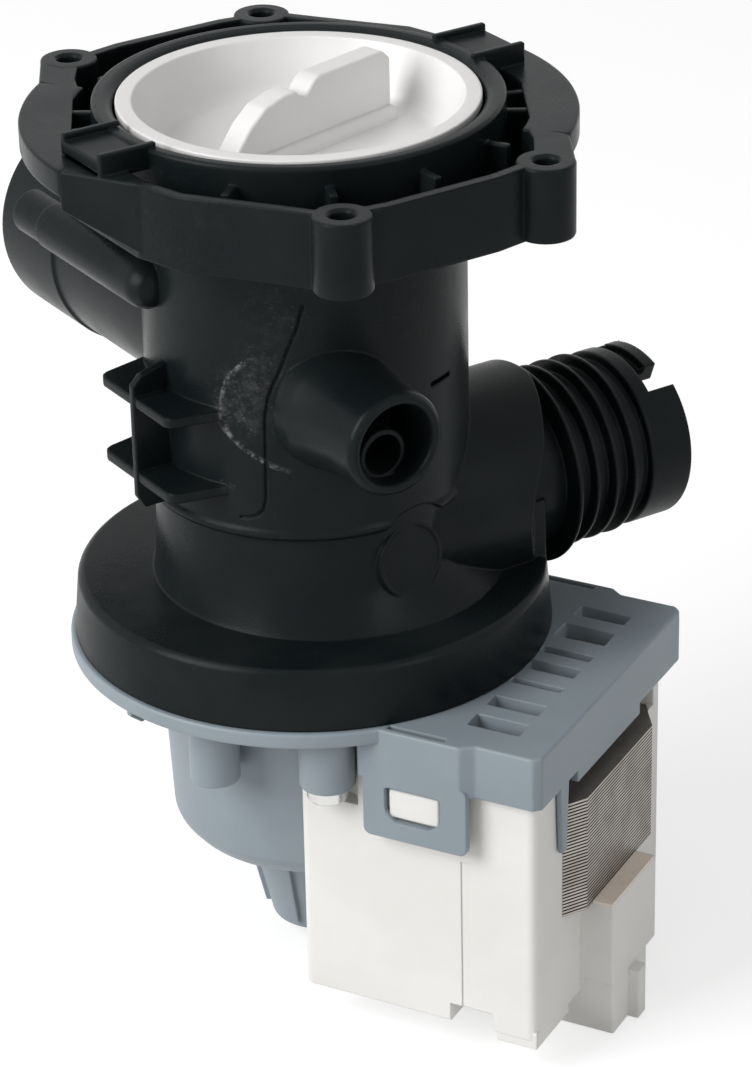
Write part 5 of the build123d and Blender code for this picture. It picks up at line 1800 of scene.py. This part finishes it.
@dataclass
class StatorMould:
    """The cream moulding round the coils, with its feet, latches and plug block."""

    shape: StackShape = field(default_factory=StackShape)
    x: Pair = (12.6, 62.0)
    y: float = 31.2
    z: Pair = (-62.5, -6.0)
    corner: float = 2.0
    far_end: float = 59.2
    far_y: float = 22.6
    clear: float = 17.6
    pad: tuple[Pair, Pair] = ((30.0, 34.0), (27.0, 31.0))
    window: Pair = (55.0, 22.2)
    apron_clear: Pair = (61.3, -11.3)
    groove: tuple[Pair, float, float] = ((46.5, 48.5), 0.2, -26.5)
    notch: tuple[Pair, float, float] = ((44.0, 53.0), 25.0, -58.5)
    foot: tuple[Pair, Pair, float] = ((53.5, 62.0), (16.5, 31.0), -64.2)
    latch: tuple[Pair, Pair, float] = ((33.1, 43.5), (-18.6, -12.6), 34.0)
    boss_notch: tuple[float, float, float, float] = (38.5, 59.0, 5.7, -19.6)
    pocket_grow: float = 7.8
    pocket_x: Pair = (25.5, 50.3)
    plug_x: Pair = (56.0, 69.0)
    plug_upper: tuple[Pair, float] = ((-11.6, 8.5), -59.5)
    plug_lower: tuple[Pair, float] = ((-11.4, 4.3), -70.5)
    plug_rib: tuple[Pair, float] = ((-4.4, -0.8), 71.2)
    socket: tuple[Pair, Pair, float] = ((58.2, 67.4), (-9.8, 2.7), -60.0)
    blade_x: Pair = (59.6, 65.9)
    blade_ys: Pair = (-7.0, -0.4)
    blade_z: Pair = (-69.0, -52.0)

    def side_solids(self) -> list[Blank]:
        """Latch, foot and pad on the -Y side."""
        xs, zs, out = self.latch
        latch = Blank.box(xs, (-out, 2.0 - self.y), zs).soften(0.5, 3)
        xs, ys, low = self.foot
        foot = Blank.box(xs, (-ys[1], -ys[0]), (low, self.z[0] + OVERRUN)).soften(0.35)
        xs, ys = self.pad
        pad = Blank.box(xs, (-ys[1], -ys[0]), (self.z[1] - OVERRUN, -3.1)).soften(0.25)
        return [latch, foot, pad]

    def side_cuts(self) -> list[Blank]:
        """Corner notch, groove and the gap for a screw boss on the -Y side."""
        xs, depth, top = self.notch
        notch = Blank.box(xs, (-self.y - OVERRUN, -depth), (self.z[0] - 4.0, top))
        xs, deep, top = self.groove
        groove = Blank.box(xs, (-self.y - OVERRUN, deep - self.y), (self.z[0] - 1.0, top))
        at, angle, radius, low = self.boss_notch
        gap = Blank.rod(radius, low, self.z[1] + OVERRUN, polar(at, -angle))
        return [notch, groove, gap]

    def plug(self) -> list[Blank]:
        """The plug block's two storeys and its key rib."""
        ys, low = self.plug_upper
        upper = Blank.box(self.plug_x, ys, (low, self.shape.low)).soften(0.45, 3)
        ys, bottom = self.plug_lower
        lower = Blank.box(self.plug_x, ys, (bottom, low + 0.5)).soften(0.45, 3)
        ys, out = self.plug_rib
        rib = Blank.box((self.plug_x[1] - OVERRUN, out), ys, (bottom, low - 0.1)).soften(0.4)
        return [upper, lower, rib]

    def build(self) -> None:
        """Joins and cuts the moulding and hangs it on the pump's body."""
        body = Blank.box(self.x, (-self.y, self.y), self.z).round_along((0.0, 0.0, 1.0), self.corner, 5)
        work = Moulding("stator_overmould_moulding", body.soften(0.5, 3, 40.0))
        far_cut = Blank.box((self.far_end, self.x[1] + OVERRUN), (self.far_y, self.y + OVERRUN),
                            (self.z[0] - 4.0, self.z[1] + OVERRUN)).round_along((0.0, 0.0, 1.0), 0.6, 3)
        near = self.side_solids()
        work.join(*[blank.other_side() for blank in near], *near).cut(far_cut)
        cuts = self.side_cuts()
        work.cut(*[blank.other_side() for blank in cuts], *cuts)
        work.join(*self.plug())
        start, half = self.window
        work.cut(Blank.box((start, self.x[1] + OVERRUN), (-half, half), (self.shape.high, OVERRUN)))
        start, high = self.apron_clear
        work.cut(Blank.box((start, self.x[1] + OVERRUN), (-self.y - OVERRUN, self.y + OVERRUN), (high, OVERRUN)))
        work.cut(Blank.rod(self.clear, self.z[0] - OVERRUN, OVERRUN, steps=96))
        pocket = self.shape.leg_box(self.pocket_grow, self.pocket_x)
        stack = Blank.slab(self.shape.outline(), self.shape.low, self.shape.high)
        work.cut(pocket.other_side(), pocket, stack)
        xs, ys, top = self.socket
        work.cut(Blank.box(xs, ys, (self.plug_lower[1] - OVERRUN, top)))
        for y in self.blade_ys:
            work.cut(Blank.box(self.blade_x, (y - 0.4, y + 0.4), self.blade_z))
        name = "stator_overmould_moulding"
        Delivery(name, CREAM, Body.PUMP, Slot.CREAM, ("stator_overmould",), True).send(work.finished())


@dataclass(frozen=True)
class InnerWorks:
    """The CAD nodes that are shown as they are, each with its finish and slot."""

    nodes: tuple[tuple[str, Finish, Slot], ...] = (
        ("flange_seal", RUBBER, Slot.RUBBER), ("cap_seal", RUBBER, Slot.RUBBER),
        ("strainer", WHITE, Slot.WHITE),
        ("impeller", WHEEL, Slot.WHEEL), ("impeller_hub_lid", WHEEL, Slot.WHEEL),
        ("bobbin_left", CREAM, Slot.CREAM), ("bobbin_right", CREAM, Slot.CREAM),
        ("winding_left", COPPER, Slot.COPPER), ("winding_right", COPPER, Slot.COPPER),
        ("terminals", TINNED, Slot.BRASS), ("insulation_strip", FIBRE, Slot.FIBRE),
        ("bearing_shield", GREY, Slot.GREY), ("shield_seal", RUBBER, Slot.RUBBER),
        ("front_mount", RUBBER, Slot.RUBBER), ("front_bushing", BRONZE, Slot.BRONZE),
        ("front_washer", GROUND, Slot.SHAFT), ("rear_mount", RUBBER, Slot.RUBBER),
        ("rear_bushing", BRONZE, Slot.BRONZE), ("rear_washer", GROUND, Slot.SHAFT),
        ("rotor_shaft", GROUND, Slot.SHAFT), ("rotor_core", WHEEL, Slot.WHEEL),
        ("rotor_magnet", FERRITE, Slot.FERRITE), ("drive_dog", GROUND, Slot.SHAFT),
    )

    def build(self, shown: dict[str, bpy.types.Object]) -> None:
        """Dresses the CAD nodes.

        Args:
            shown: The frame's nodes by name.
        """
        for name, finish, slot in self.nodes:
            node = shown[name]
            node.data.materials.clear()
            node.data.materials.append(mixed(finish))
            LOG.info("node %s: %s", name, finish.name)


@dataclass
class Softbox:
    """One soft lamp.

    Attributes:
        name: The lamp's name.
        azimuth: Where it stands round the pump, in degrees.
        height: Its elevation in degrees.
        distance: Its distance in metres.
        size: Its width and height in metres.
        power: Its power in watts.
    """

    name: str
    azimuth: float
    height: float
    distance: float
    size: Pair
    power: float

    def hang(self, target: Vector) -> None:
        """Hangs the lamp, aimed at a target."""
        data = bpy.data.lights.new(self.name, "AREA")
        data.shape = "RECTANGLE"
        data.size, data.size_y = self.size
        data.energy = self.power
        lamp = bpy.data.objects.new(self.name, data)
        bpy.context.scene.collection.objects.link(lamp)
        flat = math.cos(math.radians(self.height)) * self.distance
        x, y = polar(flat, self.azimuth)
        lamp.location = target + Vector((x, y, math.sin(math.radians(self.height)) * self.distance))
        lamp.rotation_euler = (target - lamp.location).to_track_quat("-Z", "Y").to_euler()


@dataclass
class Studio:
    """Pale floor, plain soft light and the photograph's camera."""

    floor_z: float = -0.1752
    floor_size: float = 8.0
    floor_paint: float = 0.80
    floor_share: float = 0.52
    floor_glow: float = 0.64
    world_light: float = 0.27
    camera_at: Triple = (0.579113, -0.355857, 0.257865)
    right: Triple = (0.54698431, 0.83692378, -0.01915071)
    up: Triple = (-0.37129134, 0.2630393, 0.89047912)
    back: Triple = (0.75030054, -0.47996761, 0.45462092)
    lens: float = 132.04
    sensor: float = 36.0
    sight: Pair = (0.01, 50.0)
    aim: Triple = (0.0, 0.0, -0.08)
    lamps: tuple[Softbox, ...] = (
        Softbox("key_softbox", -94.0, 32.0, 1.5, (0.8, 1.1), 20.5),
        Softbox("fill_softbox", 14.0, 24.0, 1.6, (0.5, 1.1), 3.5),
        Softbox("top_softbox", -150.0, 76.0, 1.5, (1.0, 1.0), 2.5),
    )

    def _by_rays(self, recipe: Recipe, lighting: bpy.types.Node, seen: bpy.types.Node, output: str) -> None:
        """Shows one shader where it is seen and lights with the other.

        Args:
            recipe: The recipe that holds both.
            lighting: The shader that lights the pump.
            seen: The shader that is seen directly, in gloss or through glass.
            output: The type of the output node.
        """
        path = recipe.raw("ShaderNodeLightPath")
        camera, glossy, through = (Number(recipe, path.outputs[name]) for name in
                                   ("Is Camera Ray", "Is Glossy Ray", "Is Transmission Ray"))
        share = recipe.node("ShaderNodeClamp", None, {0: camera + glossy + through, 1: 0.0, 2: 1.0})
        mix = recipe.raw("ShaderNodeMixShader", None, {0: share})
        recipe.link(lighting, mix, 1)
        recipe.link(seen, mix, 2)
        recipe.link(mix, recipe.raw(output), "Surface")

    def floor(self) -> None:
        """Lays the floor: white where it is lit, pale where the pump shades it."""
        blank = Blank()
        bmesh.ops.create_grid(blank.bm, x_segments=1, y_segments=1, size=self.floor_size / 2,
                              matrix=Matrix.Translation((0.0, 0.0, self.floor_z)))
        mesh = blank.mesh("floor")
        recipe = Recipe.paint("floor_paint")
        diffuse = recipe.raw("ShaderNodeBsdfDiffuse", None, {"Color": grey(self.floor_paint)})
        shaded = recipe.raw("ShaderNodeBsdfDiffuse", None, {"Color": grey(self.floor_share)})
        glow = recipe.raw("ShaderNodeEmission", None, {"Color": grey(1.0), "Strength": self.floor_glow})
        both = recipe.raw("ShaderNodeAddShader")
        recipe.link(shaded, both, 0)
        recipe.link(glow, both, 1)
        self._by_rays(recipe, diffuse, both, "ShaderNodeOutputMaterial")
        mesh.materials.append(recipe.block)
        floor = bpy.data.objects.new("floor", mesh)
        bpy.context.scene.collection.objects.link(floor)

    def world(self) -> None:
        """A white surround that lights the pump gently."""
        world = bpy.data.worlds.new("surround")
        bpy.context.scene.world = world
        recipe = Recipe(world)
        light = recipe.raw("ShaderNodeBackground", None, {"Color": grey(1.0), "Strength": self.world_light})
        seen = recipe.raw("ShaderNodeBackground", None, {"Color": grey(1.0), "Strength": 1.0})
        self._by_rays(recipe, light, seen, "ShaderNodeOutputWorld")

    def camera(self) -> None:
        """Sets the camera where the photograph was taken from."""
        data = bpy.data.cameras.new("photo_camera")
        data.lens = self.lens
        data.sensor_width = self.sensor
        data.sensor_fit = "AUTO"
        data.clip_start, data.clip_end = self.sight
        camera = bpy.data.objects.new("photo_camera", data)
        bpy.context.scene.collection.objects.link(camera)
        axes = Matrix((self.right, self.up, self.back)).transposed().to_4x4()
        camera.matrix_world = Matrix.Translation(self.camera_at) @ axes
        bpy.context.scene.camera = camera

    def build(self) -> None:
        """Sets up the whole studio."""
        bpy.context.scene.view_settings.view_transform = "Standard"
        self.floor()
        self.world()
        self.camera()
        for lamp in self.lamps:
            lamp.hang(Vector(self.aim))
        LOG.info("studio: %d lamps", len(self.lamps))


def main() -> None:
    """Builds every sub-assembly in order."""
    logging.basicConfig(level=logging.INFO, format="%(name)s: %(message)s")
    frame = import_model()
    PumpHousing().build()
    FilterCap().build()
    MotorFlange().build()
    FlangeScrews().build()
    StatorMould().build()
    LaminationStack().build()
    InnerWorks().build(frame["nodes"])
    Studio().build()


if __name__ == "__main__":
    main()
